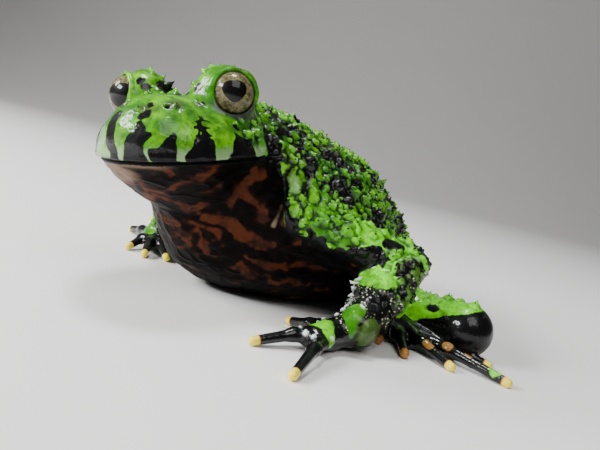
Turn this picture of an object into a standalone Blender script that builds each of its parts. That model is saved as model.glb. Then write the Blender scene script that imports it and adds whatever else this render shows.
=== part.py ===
"""Fire-bellied toad, sitting with its head turned: a still, life-size model.

Every node is a closed solid. The body is first described as one smooth field, made of
round masses that blend into each other. Each node is then the part of that field which
lies nearest to its own masses, with a thin gap to its neighbours.
The toad looks along +X, its left side is at +Y, and it rests on small flats at z = 0.
"""

import math

import bmesh
import bpy
import numpy as np
from mathutils import Matrix, Vector

MM = 0.001                  # all sizes below are in millimetres
GAP = 0.3                   # clearance between neighbouring nodes
RIM_ROUND = 0.8             # softening of the rim where two nodes face each other
MIDLINE = 0.8               # y of the plane that the trunk and hind legs mirror across

# Head: its joint with the neck, and how it is turned to the left, nosed down and rolled.
NECK = np.array((10.25, -0.1, 14.95))
HEAD_YAW = math.radians(27.0)
HEAD_PITCH = math.radians(-7.0)
HEAD_ROLL = math.radians(11.0)
SKULL_CENTRE = (2.1, 0.0, -0.9)
SKULL_RADII = (10.2, 7.3, 4.2)
SNOUT_CENTRE = (7.6, 0.0, 0.6)
SNOUT_RADII = (4.2, 3.8, 2.9)
JAW_CENTRE = (1.0, 0.0, -2.6)
JAW_RADII = (8.6, 6.3, 2.2)
NECK_CUT = (-1.4, 0.0, -0.5)
NECK_SLANT = math.radians(38.0)
BROWS = (           # centre and radii; the left lid bulges further towards the middle
    ((2.9, 4.1, 3.25), (2.8, 2.25, 2.9)),
    ((3.4, 2.9, 3.3), (2.0, 1.6, 2.2)),
    ((2.9, -4.1, 3.15), (2.7, 2.1, 2.6)),
)

# Eyes: spheres that look outwards and a little up.
EYE_RADIUS = 1.95
EYE_SEATS = {1: (3.2, 4.15, 3.65), -1: (3.2, -4.4, 3.25)}   # of the left and the right eye
EYE_TURN = math.radians(42.0)
EYE_RISE = 0.10
EYE_STAND_OUT = 0.9
LID_OPENING = math.radians(73.0)    # angle between the look of the eye and the lids' rim
LID_CLEARANCE = 0.3
LID_RADII = (0.38, 0.28)            # of the upper and the lower lid
LID_STEPS = 18
HALVINGS = 24                       # when a point is brought onto the skin

# Mouth and nostrils, in the head's own directions.
MOUTH_MIDDLE = (1.0, 0.0, -1.7)
MOUTH_TURN = math.radians(88.0)     # how far the mouth goes round each side of the head
MOUTH_STEPS = 22
MOUTH_GROOVE = 0.26
LIPS = ((0.5, 0.40), (-0.5, 0.36))  # height above the mouth line, and radius
NOSTRIL_AIM = (1.0, 0.55, 0.62)     # from the middle of the snout
NOSTRIL_RADIUS = 0.32
NOSTRIL_SEGMENTS = 8
HEAD_REACH = 16.0                   # longer than any way from inside the head to its skin

# Trunk masses: centre and radii.
CHEST = ((4.0, 0.9, 10.3), (8.3, 8.8, 8.5))
BACK = ((-4.0, 0.9, 9.0), (10.5, 10.6, 8.2))
RUMP = ((-12.0, 0.9, 6.4), (9.8, 9.0, 6.4))
BELLY = ((-4.4, 0.9, 4.6), (12.1, 9.8, 4.7))
THROAT = ((4.5, 0.0, -3.0), 3.2, (7.0, 0.0, 8.0), 5.5)

# Limbs: joints and their radii. The left arm props the body and the right one mirrors
# it only roughly. The hind legs are folded beside the body and mirror each other.
ARMS = {
    "left": {
        "shoulder": (4.2, 8.4, 9.3), "elbow": (-3.9, 16.3, 7.0),
        "wrist": (3.1, 17.7, 2.1), "palm": (5.8, 17.0, 1.2),
        "tips": ((3.2, 12.4), (5.0, 11.7), (12.7, 14.9), (14.3, 20.9)),
    },
    "right": {
        "shoulder": (4.6, -7.0, 9.3), "elbow": (-2.3, -13.9, 6.8),
        "wrist": (1.8, -13.3, 2.6), "palm": (2.9, -13.8, 1.2),
        "tips": ((5.4, -7.3), (7.5, -8.6), (7.7, -11.5), (1.8, -20.2)),
    },
}
SHOULDER_RADIUS = 2.9
ELBOW_RADIUS = 2.35
WRIST_RADIUS = 1.8
PALM_RADIUS = 1.25
FINGER_RADII = (0.95, 0.56, 0.46)

LEG = {
    "hip": (-14.5, 6.4, 3.0), "thigh": (-12.3, 13.5, 1.85), "knee": (-9.4, 21.9, 2.5),
    "calf": (-8.4, 15.5, 2.15), "ankle": (-8.6, 9.6, 1.9), "sole": (-5.6, 16.2, 1.1),
    "tips": ((-1.2, 17.6), (-0.9, 20.8), (-3.3, 24.3), (-6.1, 28.5), (-8.6, 25.4)),
}
HIP_RADIUS = 3.1
THIGH_RADIUS = 1.95
KNEE_RADIUS = 2.5
CALF_RADIUS = 2.1
ANKLE_RADIUS = 1.8
SOLE_RADIUS = 1.1
TOE_RADII = (0.95, 0.50, 0.42)
JOINT_CORE = 1.3            # in joint radii: where a joint's plane stops being the only divide
JOINT_END = 2.0             # and where it stops counting
DIGIT_ARCH = 0.25           # how far the middle of a digit is raised off the floor
TIP_HEIGHT = 0.4            # height of the middle of a digit's tip
FLAT_SNAP = 0.08            # what lies lower than this is laid flat on the floor

# Webs between the toes: thin plates from the sole to this share of each toe.
WEB_BOTTOM = 0.1
WEB_TOP = 0.66
WEB_REACH = 0.62

# Warts on the upper side: how many on each node, how wide and how high.
WART_SEED = 11
WARTS = {"torso": 64, "head": 10, "upper_arm": 7, "forearm": 6, "thigh": 4, "shank": 4}
WART_RADII = (0.5, 0.92)
WART_RISE = (0.55, 0.75)            # height as a share of the radius
WART_ROOT = (-0.7, 0.8)             # height and radius of the root as shares of the radius
WART_RINGS = ((0.12, 1.0), (0.72, 0.58))    # height as a share of the height, and of the radius
WART_UNEVEN = (0.9, 1.1)
WART_TWIST = (0.3, 0.5, 0.8)        # any direction that is no wart's own
WART_SIDES = 6
WART_SPACING = 1.12
WART_CLEARANCE = 0.3                # from the edge of the node
WART_EYE_ROOM = 0.9                 # from an eyeball
WART_HEAD_LOWEST = 1.2              # on the head, above the neck joint
WART_HEAD_FRONT = 6.0               # and no further forward than this
ON_SKIN = 0.25                      # how far from the body's surface still counts as on it
WART_LEAN = 0.12                    # least upward share of the skin's direction
WART_LOWEST = 2.6
WART_TRIES = 6000

# Mesh fineness: grid cell, and the triangles that each node is reduced to.
TUBE_SIDES = 5
BODY_CELL = 0.6
HEAD_CELL = 0.42
DIGIT_CELL = 0.4
TRIANGLES = {
    "head": 1700, "torso": 1400, "upper_arm": 240, "forearm": 260, "hand": 560,
    "thigh": 280, "shank": 260, "foot": 620,
}
EYE_SEGMENTS = 20
FLOOR_MARGIN = 1.4                  # cells between the grid's lowest points and the floor
GRID_SHIFTS = np.outer(range(12), (0.13, 0.29, 0.07))   # in cells, tried until a mesh is clean


# ---------------------------------------------------------------- field of the body

def turn_matrix(yaw, pitch, roll):
    """Rotation that yaws about z, then lifts the nose, then rolls."""
    turn = (Matrix.Rotation(yaw, 3, "Z") @ Matrix.Rotation(-pitch, 3, "Y")
            @ Matrix.Rotation(roll, 3, "X"))
    return np.array(turn)


UPRIGHT = np.eye(3)
HEAD_TURN = turn_matrix(HEAD_YAW, HEAD_PITCH, HEAD_ROLL)


def on_head(x, y, z):
    """Place of a point that is given from the neck joint, in the head's own directions."""
    return NECK + HEAD_TURN @ np.array((x, y, z))


class Ball:
    """An ellipsoid."""

    def __init__(self, centre, radii, turn=UPRIGHT):
        self.centre = np.array(centre)
        self.radii = np.array(radii)
        self.turn = turn
        reach = self.radii.max()
        self.low = self.centre - reach
        self.high = self.centre + reach

    def distance(self, points):
        local = (points - self.centre) @ self.turn
        scaled = np.linalg.norm(local / self.radii, axis=1)
        slope = np.linalg.norm(local / self.radii ** 2, axis=1) + 1e-9
        return scaled * (scaled - 1.0) / slope


class Bone:
    """A cone with round ends, from one joint to the next."""

    def __init__(self, start, start_radius, end, end_radius):
        self.start = np.array(start)
        self.end = np.array(end)
        self.radii = (start_radius, end_radius)
        reach = max(self.radii)
        self.low = np.minimum(self.start, self.end) - reach
        self.high = np.maximum(self.start, self.end) + reach

    def distance(self, points):
        along = self.end - self.start
        length = np.linalg.norm(along)
        offset = points - self.start
        height = offset @ (along / length)
        across = np.sqrt(np.maximum((offset ** 2).sum(axis=1) - height ** 2, 0.0))
        taper = (self.radii[0] - self.radii[1]) / length
        lean = taper / math.sqrt(1.0 - taper ** 2)
        share = np.clip((height + across * lean) / length, 0.0, 1.0)
        radius = self.radii[0] + (self.radii[1] - self.radii[0]) * share
        return np.hypot(height - share * length, across) - radius


def bones(*joints):
    """Bones through a run of (place, radius) joints."""
    return [Bone(*joint, *following) for joint, following in zip(joints, joints[1:])]


def blend(first, second, width):
    """Smooth union of two distances."""
    overlap = np.maximum(width - np.abs(first - second), 0.0) / width
    return np.minimum(first, second) - overlap ** 2 * width * 0.25


class Region:
    """The masses of one node, how they blend, and how softly they join the rest."""

    def __init__(self, masses, inner_blend, joint_blend, cell=BODY_CELL):
        self.masses = masses
        self.inner_blend = inner_blend
        self.joint_blend = joint_blend
        self.cell = cell

    def distance(self, points):
        result = self.masses[0].distance(points)
        for mass in self.masses[1:]:
            result = blend(result, mass.distance(points), self.inner_blend)
        return result

    def box(self):
        low = np.min([mass.low for mass in self.masses], axis=0)
        high = np.max([mass.high for mass in self.masses], axis=0)
        return low, high


def digits(root, root_radius, radii, tips):
    """Bones of each finger or toe, arched a little between its root and its tip."""
    made = []
    for x, y in tips:
        tip = np.array((x, y, TIP_HEIGHT))
        middle = (np.array(root) + tip) / 2 + np.array((0.0, 0.0, DIGIT_ARCH))
        made += bones((root, root_radius), (middle, radii[1]), (tip, radii[2]))
    return made


def head_region():
    masses = [Ball(on_head(*SKULL_CENTRE), SKULL_RADII, HEAD_TURN),
              Ball(on_head(*SNOUT_CENTRE), SNOUT_RADII, HEAD_TURN),
              Ball(on_head(*JAW_CENTRE), JAW_RADII, HEAD_TURN)]
    masses += [Ball(on_head(*centre), radii, HEAD_TURN) for centre, radii in BROWS]
    return Region(masses, 1.6, 2.5, HEAD_CELL)


def torso_region():
    masses = [Ball(*form) for form in (CHEST, BACK, RUMP, BELLY)]
    jaw_end, jaw_radius, chest_end, chest_radius = THROAT
    masses.append(Bone(on_head(*jaw_end), jaw_radius, chest_end, chest_radius))
    return Region(masses, 4.0, 0.0)


def arm_regions(side):
    arm = ARMS[side]
    upper = bones((arm["shoulder"], SHOULDER_RADIUS), (arm["elbow"], ELBOW_RADIUS))
    middle = tuple((np.array(arm["elbow"]) + np.array(arm["wrist"])) / 2)
    fore = bones((arm["elbow"], ELBOW_RADIUS), (middle, ELBOW_RADIUS),
                 (arm["wrist"], WRIST_RADIUS))
    hand = bones((arm["wrist"], WRIST_RADIUS), (arm["palm"], PALM_RADIUS))
    hand += digits(arm["palm"], FINGER_RADII[0], FINGER_RADII, arm["tips"])
    return {
        "upper_arm_" + side: Region(upper, 0.5, 1.6),
        "forearm_" + side: Region(fore, 0.5, 1.0),
        "hand_" + side: Region(hand, 0.6, 0.8, DIGIT_CELL),
    }


def leg_joints(side):
    """The left leg's joints, or their mirror image for the right one."""
    if side == "left":
        return LEG
    mirrored = {}
    for name, place in LEG.items():
        if name == "tips":
            mirrored[name] = tuple((x, 2 * MIDLINE - y) for x, y in place)
        else:
            mirrored[name] = (place[0], 2 * MIDLINE - place[1], place[2])
    return mirrored


def leg_regions(side):
    leg = leg_joints(side)
    thigh = bones((leg["hip"], HIP_RADIUS), (leg["thigh"], THIGH_RADIUS),
                  (leg["knee"], KNEE_RADIUS))
    shank = bones((leg["knee"], KNEE_RADIUS), (leg["calf"], CALF_RADIUS),
                  (leg["ankle"], ANKLE_RADIUS))
    foot = bones((leg["ankle"], ANKLE_RADIUS), (leg["sole"], SOLE_RADIUS))
    foot += digits(leg["sole"], TOE_RADII[0], TOE_RADII, leg["tips"])
    return {
        "thigh_" + side: Region(thigh, 1.0, 1.5),
        "shank_" + side: Region(shank, 1.0, 0.8),
        "foot_" + side: Region(foot, 0.6, 0.6, DIGIT_CELL),
    }


def all_regions():
    regions = {"torso": torso_region(), "head": head_region()}
    for side in ("left", "right"):
        regions.update(arm_regions(side))
        regions.update(leg_regions(side))
    return regions


def body_distance(distances, regions):
    """Distance to the whole body, from the distances to its regions."""
    result = distances["torso"]
    for name, region in regions.items():
        if name != "torso":
            result = blend(result, distances[name], region.joint_blend)
    return result


class Divide:
    """A plane between two nodes, with its normal towards the second one."""

    def __init__(self, place, normal, radius=math.inf):
        self.place = np.array(place)
        self.normal = normal / np.linalg.norm(normal)
        self.radius = radius

    def share(self, points):
        """1 within the joint, falling to 0 where the nearest bone is no longer in doubt."""
        away = np.linalg.norm(points - self.place, axis=1) / self.radius
        return np.clip((JOINT_END - away) / (JOINT_END - JOINT_CORE), 0.0, 1.0)


def halved_bend(before, place, after, radius):
    """The plane that halves the bend where two bones meet."""
    before, middle, after = (np.array(point) for point in (before, place, after))
    back = (before - middle) / np.linalg.norm(before - middle)
    ahead = (after - middle) / np.linalg.norm(after - middle)
    return Divide(middle, ahead - back, radius)


def joint_divides():
    """The planes at the neck and between the nodes of each limb."""
    slant = np.array((math.cos(NECK_SLANT), 0.0, math.sin(NECK_SLANT)))
    divides = {("torso", "head"): Divide(on_head(*NECK_CUT), HEAD_TURN @ slant)}
    for side, arm in ARMS.items():
        divides["upper_arm_" + side, "forearm_" + side] = halved_bend(
            arm["shoulder"], arm["elbow"], arm["wrist"], ELBOW_RADIUS)
        divides["forearm_" + side, "hand_" + side] = halved_bend(
            arm["elbow"], arm["wrist"], arm["palm"], WRIST_RADIUS)
        leg = leg_joints(side)
        divides["thigh_" + side, "shank_" + side] = halved_bend(
            leg["thigh"], leg["knee"], leg["calf"], KNEE_RADIUS)
        divides["shank_" + side, "foot_" + side] = halved_bend(
            leg["calf"], leg["ankle"], leg["sole"], ANKLE_RADIUS)
    return divides


def beyond(name, other, distances, divides, points):
    """How far points lie past the face between a node and another one."""
    nearer = (distances[name] - distances[other]) / 2
    for pair, direction in (((name, other), 1.0), ((other, name), -1.0)):
        if pair in divides:
            divide = divides[pair]
            past_plane = direction * ((points - divide.place) @ divide.normal)
            share = divide.share(points)
            return share * past_plane + (1.0 - share) * nearer
    return nearer


def eye_axis(side):
    """Direction in which an eye looks; side is 1 for the left one."""
    axis = HEAD_TURN @ np.array((math.cos(EYE_TURN), side * math.sin(EYE_TURN), EYE_RISE))
    return axis / np.linalg.norm(axis)


def eye_centre(side):
    return on_head(*EYE_SEATS[side]) + eye_axis(side) * EYE_STAND_OUT


def node_distance(name, regions, divides, points):
    """Distance to one node: the body's skin, the faces to its neighbours and the floor."""
    distances = {key: region.distance(points) for key, region in regions.items()}
    result = np.maximum(body_distance(distances, regions), -points[:, 2])
    for other in regions:
        if other != name:
            past = beyond(name, other, distances, divides, points)
            result = -blend(-result, -(past + GAP / 2), RIM_ROUND)
    return result


def skin_points(regions, start, directions, reach):
    """Where rays from inside the body leave it."""
    near = np.zeros(len(directions))
    far = np.full(len(directions), float(reach))
    for _ in range(HALVINGS):
        middle = (near + far) / 2
        points = start + directions * middle[:, None]
        distances = {key: region.distance(points) for key, region in regions.items()}
        inside = body_distance(distances, regions) < 0
        near = np.where(inside, middle, near)
        far = np.where(inside, far, middle)
    return start + directions * near[:, None]


def mouth_line(regions, height):
    """Places round the front of the head, at a height above the line of the mouth."""
    x, y, z = MOUTH_MIDDLE
    angles = np.linspace(-MOUTH_TURN, MOUTH_TURN, MOUTH_STEPS)
    around = np.stack([np.cos(angles), np.sin(angles), np.zeros(MOUTH_STEPS)], axis=1)
    return skin_points(regions, on_head(x, y, z + height), around @ HEAD_TURN.T, HEAD_REACH)


def nostrils(regions):
    x, y, z = NOSTRIL_AIM
    aims = np.array(((x, y, z), (x, -y, z)))
    aims = aims / np.linalg.norm(aims[0])
    return skin_points(regions, on_head(*SNOUT_CENTRE), aims @ HEAD_TURN.T, HEAD_REACH)


# ---------------------------------------------------------------- meshes

CORNERS = [(i, j, k) for i in (0, 1) for j in (0, 1) for k in (0, 1)]


def cell_points(value, cells):
    """The middle of the places where the surface crosses each cell's edges."""
    total = np.zeros(cells.shape)
    count = np.zeros(len(cells))
    for corner in CORNERS:
        for axis in range(3):
            if corner[axis]:
                continue
            far = np.array(corner)
            far[axis] = 1
            near_value = value[tuple((cells + corner).T)]
            far_value = value[tuple((cells + far).T)]
            crossed = (near_value < 0) != (far_value < 0)
            span = np.where(crossed, near_value - far_value, 1.0)
            place = np.tile(np.array(corner, dtype=float), (len(cells), 1))
            place[:, axis] += near_value / span
            total += place * crossed[:, None]
            count += crossed
    return cells + total / count[:, None]


def crossed_quads(inside, index):
    """One quad round each grid edge that the surface crosses."""
    quads = []
    for axis in range(3):
        first, second = ((1, 2), (2, 0), (0, 1))[axis]
        near = np.take(inside, range(inside.shape[axis] - 1), axis)
        far = np.take(inside, range(1, inside.shape[axis]), axis)
        for leaving, order in ((near & ~far, 1), (far & ~near, -1)):
            edges = np.argwhere(leaving)
            ring = []
            for step_first, step_second in ((1, 1), (0, 1), (0, 0), (1, 0)):
                cell = edges.copy()
                cell[:, first] -= step_first
                cell[:, second] -= step_second
                ring.append(index[tuple(cell.T)])
            quads.append(np.stack(ring, axis=1)[:, ::order])
    return np.concatenate(quads)


def surface_of(distance, low, high, cell):
    """Points and quads of the surface where a distance is zero, on a regular grid."""
    counts = np.ceil((high - low) / cell).astype(int) + 1
    axes = [low[i] + cell * np.arange(counts[i]) for i in range(3)]
    grid = np.stack(np.meshgrid(*axes, indexing="ij"), axis=-1)
    value = distance(grid.reshape(-1, 3)).reshape(counts)
    inside = value < 0
    held = sum(inside[i:counts[0] - 1 + i, j:counts[1] - 1 + j, k:counts[2] - 1 + k].astype(int)
               for i, j, k in CORNERS)
    crossed = (held > 0) & (held < len(CORNERS))
    cells = np.argwhere(crossed)
    index = np.full(crossed.shape, -1)
    index[crossed] = np.arange(len(cells))
    return low + cell * cell_points(value, cells), crossed_quads(inside, index)


def keep_largest_surface(mesh):
    """Delete all but a mesh's largest closed surface, and say if it nowhere touches itself."""
    work = bmesh.new()
    work.from_mesh(mesh)
    left = set(work.verts)
    groups = []
    while left:
        group = {left.pop()}
        edge = list(group)
        while edge:
            near = {link.other_vert(vert) for vert in edge for link in vert.link_edges}
            edge = list(near - group)
            group |= near
        left -= group
        groups.append(group)
    keep = max(groups, key=len)
    scraps = [vert for vert in work.verts if vert not in keep]
    bmesh.ops.delete(work, geom=scraps, context="VERTS")
    clean = all(part.is_manifold for part in (*work.verts, *work.edges))
    work.to_mesh(mesh)
    work.free()
    return clean


def applied(obj):
    """Replace an object's mesh by what its modifiers make of it."""
    graph = bpy.context.evaluated_depsgraph_get()
    mesh = bpy.data.meshes.new_from_object(obj.evaluated_get(graph))
    obj.modifiers.clear()
    obj.data = mesh


def thin_out(obj, triangles):
    """Reduce a mesh to about the given number of triangles."""
    reduce = obj.modifiers.new("reduce", "DECIMATE")
    reduce.ratio = min(1.0, triangles / (2 * len(obj.data.polygons)))
    applied(obj)


def combine(obj, pieces, operation):
    """Boolean of an object with closed pieces, which are then removed."""
    group = bpy.data.collections.new("pieces")
    bpy.context.scene.collection.children.link(group)
    for piece in pieces:
        bpy.context.scene.collection.objects.unlink(piece)
        group.objects.link(piece)
    boolean = obj.modifiers.new("combine", "BOOLEAN")
    boolean.operation = operation
    boolean.operand_type = "COLLECTION"
    boolean.collection = group
    applied(obj)
    for piece in pieces:
        bpy.data.objects.remove(piece)
    bpy.data.collections.remove(group)
    keep_largest_surface(obj.data)


def new_object(name, mesh, material):
    obj = bpy.data.objects.new(name, mesh)
    obj.data.materials.append(material)
    bpy.context.scene.collection.objects.link(obj)
    return obj


def skin_material(name, colour, roughness):
    material = bpy.data.materials.new(name)
    material.use_nodes = True
    shader = material.node_tree.nodes["Principled BSDF"]
    shader.inputs["Base Color"].default_value = (*colour, 1.0)
    shader.inputs["Roughness"].default_value = roughness
    return material


def make_node(name, regions, divides, material):
    """Mesh one node of the body and add it to the scene."""
    region = regions[name]
    low, high = region.box()
    margin = 2 * region.cell
    low = low - margin
    low[2] = -FLOOR_MARGIN * region.cell
    for shift in GRID_SHIFTS:
        points, quads = surface_of(
            lambda grid: node_distance(name, regions, divides, grid),
            low + shift * region.cell, high + margin, region.cell)
        mesh = bpy.data.meshes.new(name)
        mesh.from_pydata((points * MM).tolist(), [], quads.tolist())
        if keep_largest_surface(mesh):
            break
    obj = new_object(name, mesh, material)
    kind = name.removesuffix("_left").removesuffix("_right")
    thin_out(obj, TRIANGLES[kind])
    for vertex in obj.data.vertices:
        if vertex.co.z < FLAT_SNAP * MM:
            vertex.co.z = 0.0
    obj.data.shade_smooth()
    return obj


def sphere(name, place, axis, radius, segments, material):
    """A sphere with its pole along an axis."""
    mesh = bpy.data.meshes.new(name)
    ball = bmesh.new()
    bmesh.ops.create_uvsphere(ball, u_segments=segments, v_segments=segments // 2,
                              radius=radius * MM)
    look = Vector(axis).to_track_quat("Z", "Y").to_matrix().to_4x4()
    ball.transform(Matrix.Translation(place * MM) @ look)
    ball.to_mesh(mesh)
    ball.free()
    mesh.shade_smooth()
    return new_object(name, mesh, material)


def eye_ball(name, side, radius, material):
    return sphere(name, eye_centre(side), eye_axis(side), radius, EYE_SEGMENTS, material)


def nostril_ball(place, material):
    return sphere("nostril", place, HEAD_TURN[:, 0], NOSTRIL_RADIUS,
                  NOSTRIL_SEGMENTS, material)


def tube(path, radii, material, closed=False):
    """A tube along a path, with its ends closed unless it runs in a ring."""
    path = np.array(path)
    if closed:
        ahead = np.roll(path, -1, axis=0) - np.roll(path, 1, axis=0)
    else:
        ahead = np.gradient(path, axis=0)
    ahead /= np.linalg.norm(ahead, axis=1)[:, None]
    out = path - path.mean(axis=0)
    out -= (out * ahead).sum(axis=1)[:, None] * ahead
    out /= np.linalg.norm(out, axis=1)[:, None]
    over = np.cross(ahead, out)
    radii = np.broadcast_to(radii, len(path))
    points = []
    for turn in np.arange(TUBE_SIDES) * 2 * math.pi / TUBE_SIDES:
        points.append(path + radii[:, None] * (math.cos(turn) * out + math.sin(turn) * over))
    points = np.stack(points, axis=1).reshape(-1, 3)
    count = len(path)
    faces = []
    for step in range(count if closed else count - 1):
        for side in range(TUBE_SIDES):
            after = (step + 1) % count * TUBE_SIDES
            following = (side + 1) % TUBE_SIDES
            faces.append((step * TUBE_SIDES + side, after + side, after + following,
                          step * TUBE_SIDES + following))
    if not closed:
        faces.append(tuple(range(TUBE_SIDES)))
        faces.append(tuple(reversed(range((count - 1) * TUBE_SIDES, count * TUBE_SIDES))))
    return piece_of(points, faces, material)


def piece_of(points, faces, material):
    """An object from points in millimetres, with its faces turned outwards."""
    mesh = bpy.data.meshes.new("piece")
    mesh.from_pydata((np.array(points) * MM).tolist(), [], faces)
    work = bmesh.new()
    work.from_mesh(mesh)
    bmesh.ops.recalc_face_normals(work, faces=work.faces)
    work.to_mesh(mesh)
    work.free()
    return new_object("piece", mesh, material)


def lids(side, material):
    """Ring of the upper and lower lid round an eye."""
    axis = eye_axis(side)
    across = np.cross((0.0, 0.0, 1.0), axis)
    across /= np.linalg.norm(across)
    up = np.cross(axis, across)
    turns = np.arange(LID_STEPS) * 2 * math.pi / LID_STEPS
    reach = EYE_RADIUS + LID_CLEARANCE
    path = eye_centre(side) + reach * (
        math.cos(LID_OPENING) * axis
        + math.sin(LID_OPENING) * (np.cos(turns)[:, None] * across + np.sin(turns)[:, None] * up))
    share = (np.sin(turns) + 1) / 2
    return tube(path, LID_RADII[1] + share * (LID_RADII[0] - LID_RADII[1]), material, closed=True)


def webs(side, material):
    """Thin plates between neighbouring toes."""
    leg = leg_joints(side)
    root = np.array(leg["sole"][:2])
    ends = [root + WEB_REACH * (np.array(tip) - root) for tip in leg["tips"]]
    plates = []
    for one, other in zip(ends, ends[1:]):
        outline = np.array((root, one, other))
        points = [(*place, height) for height in (WEB_BOTTOM, WEB_TOP) for place in outline]
        faces = [(0, 1, 2), (5, 4, 3), (0, 3, 4, 1), (1, 4, 5, 2), (2, 5, 3, 0)]
        plates.append(piece_of(points, faces, material))
    return plates


def wart(place, axis, radius, height, chance, material):
    """A blunt cone whose root lies under the skin."""
    across = np.cross(axis, WART_TWIST)
    across /= np.linalg.norm(across)
    over = np.cross(axis, across)
    rings = [(WART_ROOT[0] * radius, WART_ROOT[1])]
    rings += [(level * height, share) for level, share in WART_RINGS]
    points = []
    turns = (np.arange(WART_SIDES) + chance.random()) * 2 * math.pi / WART_SIDES
    for level, share in rings:
        for turn in turns:
            reach = radius * share * chance.uniform(*WART_UNEVEN)
            points.append(place + level * axis
                          + reach * (math.cos(turn) * across + math.sin(turn) * over))
    points.append(place + height * axis)
    faces = [tuple(range(WART_SIDES))]
    for ring in range(len(rings) - 1):
        for side in range(WART_SIDES):
            first = ring * WART_SIDES + side
            following = ring * WART_SIDES + (side + 1) % WART_SIDES
            faces.append((first, following, following + WART_SIDES, first + WART_SIDES))
    last = (len(rings) - 1) * WART_SIDES
    for side in range(WART_SIDES):
        faces.append((last + side, last + (side + 1) % WART_SIDES, len(points) - 1))
    return piece_of(points, faces, material)


def clear_for_wart(name, regions, divides, place, radius):
    """Whether a place is skin, and far enough from the node's edges, the eyes and the mouth."""
    point = place[None]
    distances = {key: region.distance(point) for key, region in regions.items()}
    if abs(body_distance(distances, regions)[0]) > ON_SKIN:
        return False
    room = radius + WART_CLEARANCE + GAP / 2
    if any(beyond(name, other, distances, divides, point)[0] > -room
           for other in regions if other != name):
        return False
    if name == "head":
        if any(np.linalg.norm(place - eye_centre(side)) < EYE_RADIUS + WART_EYE_ROOM + radius
               for side in (1, -1)):
            return False
        local = (place - NECK) @ HEAD_TURN
        return local[2] > WART_HEAD_LOWEST and local[0] < WART_HEAD_FRONT
    return True


def scatter_warts(name, obj, regions, divides, material, chance):
    """Warts spread over the upper side of a node, the widest ones first."""
    kind = name.removesuffix("_left").removesuffix("_right")
    if kind not in WARTS:
        return []
    mesh = obj.data
    mesh.calc_loop_triangles()
    corners = np.array([[mesh.vertices[index].co for index in tri.vertices]
                        for tri in mesh.loop_triangles]) / MM
    normals = np.cross(corners[:, 1] - corners[:, 0], corners[:, 2] - corners[:, 0])
    areas = np.linalg.norm(normals, axis=1)
    normals /= areas[:, None]
    sizes = np.sort(chance.uniform(*WART_RADII, WARTS[kind]))[::-1]
    placed = []
    made = []
    for _ in range(WART_TRIES):
        if len(placed) == len(sizes):
            break
        pick = chance.choice(len(areas), p=areas / areas.sum())
        share = chance.dirichlet((1.0, 1.0, 1.0))
        place = share @ corners[pick]
        axis = normals[pick]
        radius = sizes[len(placed)]
        if axis[2] < WART_LEAN or place[2] < WART_LOWEST:
            continue
        if any(np.linalg.norm(place - other) < WART_SPACING * (radius + size)
               for other, size in placed):
            continue
        if not clear_for_wart(name, regions, divides, place, radius):
            continue
        placed.append((place, radius))
        height = radius * chance.uniform(*WART_RISE)
        made.append(wart(place, axis, radius, height, chance, material))
    return made


def stand_on_origin(objects):
    """Move everything so that the middle of the box's floor face is the origin."""
    bpy.context.view_layer.update()
    corners = np.array([obj.matrix_world @ vertex.co for obj in objects
                        for vertex in obj.data.vertices])
    middle = (corners.min(axis=0) + corners.max(axis=0)) / 2
    for obj in objects:
        obj.location -= Vector((middle[0], middle[1], 0.0))


def build():
    for obj in list(bpy.data.objects):
        bpy.data.objects.remove(obj)
    green = skin_material("warty_skin", (0.16, 0.42, 0.03), 0.35)
    gold = skin_material("eye_gloss", (0.25, 0.15, 0.05), 0.05)
    regions = all_regions()
    divides = joint_divides()
    nodes = {name: make_node(name, regions, divides, green) for name in regions}
    chance = np.random.default_rng(WART_SEED)
    for name, obj in nodes.items():
        raised = scatter_warts(name, obj, regions, divides, green, chance)
        if name == "head":
            raised += [lids(side, green) for side in (1, -1)]
            raised += [tube(mouth_line(regions, height), radius, green)
                       for height, radius in LIPS]
        elif name.startswith("foot"):
            raised += webs(name.removeprefix("foot_"), green)
        if raised:
            combine(obj, raised, "UNION")
    cuts = [eye_ball("socket", side, EYE_RADIUS + GAP, green) for side in (1, -1)]
    cuts.append(tube(mouth_line(regions, 0.0), MOUTH_GROOVE, green))
    cuts += [nostril_ball(place, green) for place in nostrils(regions)]
    combine(nodes["head"], cuts, "DIFFERENCE")
    nodes["eye_left"] = eye_ball("eye_left", 1, EYE_RADIUS, gold)
    nodes["eye_right"] = eye_ball("eye_right", -1, EYE_RADIUS, gold)
    stand_on_origin(nodes.values())


if __name__ == "__main__":
    build()
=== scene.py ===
"""Looks of the fire-bellied toad: one warty, wet skin over its solids, its eyes, floor, light and camera.

Lengths are in millimetres until they reach Blender. Places are given as in the solids' source, where
the toad looks along +X and its left side is at +Y, and are then moved to the frame's origin.
"""

import math
from collections import namedtuple
from itertools import product

import bpy
import numpy as np
from mathutils import Matrix, Vector
from mathutils.kdtree import KDTree


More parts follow.
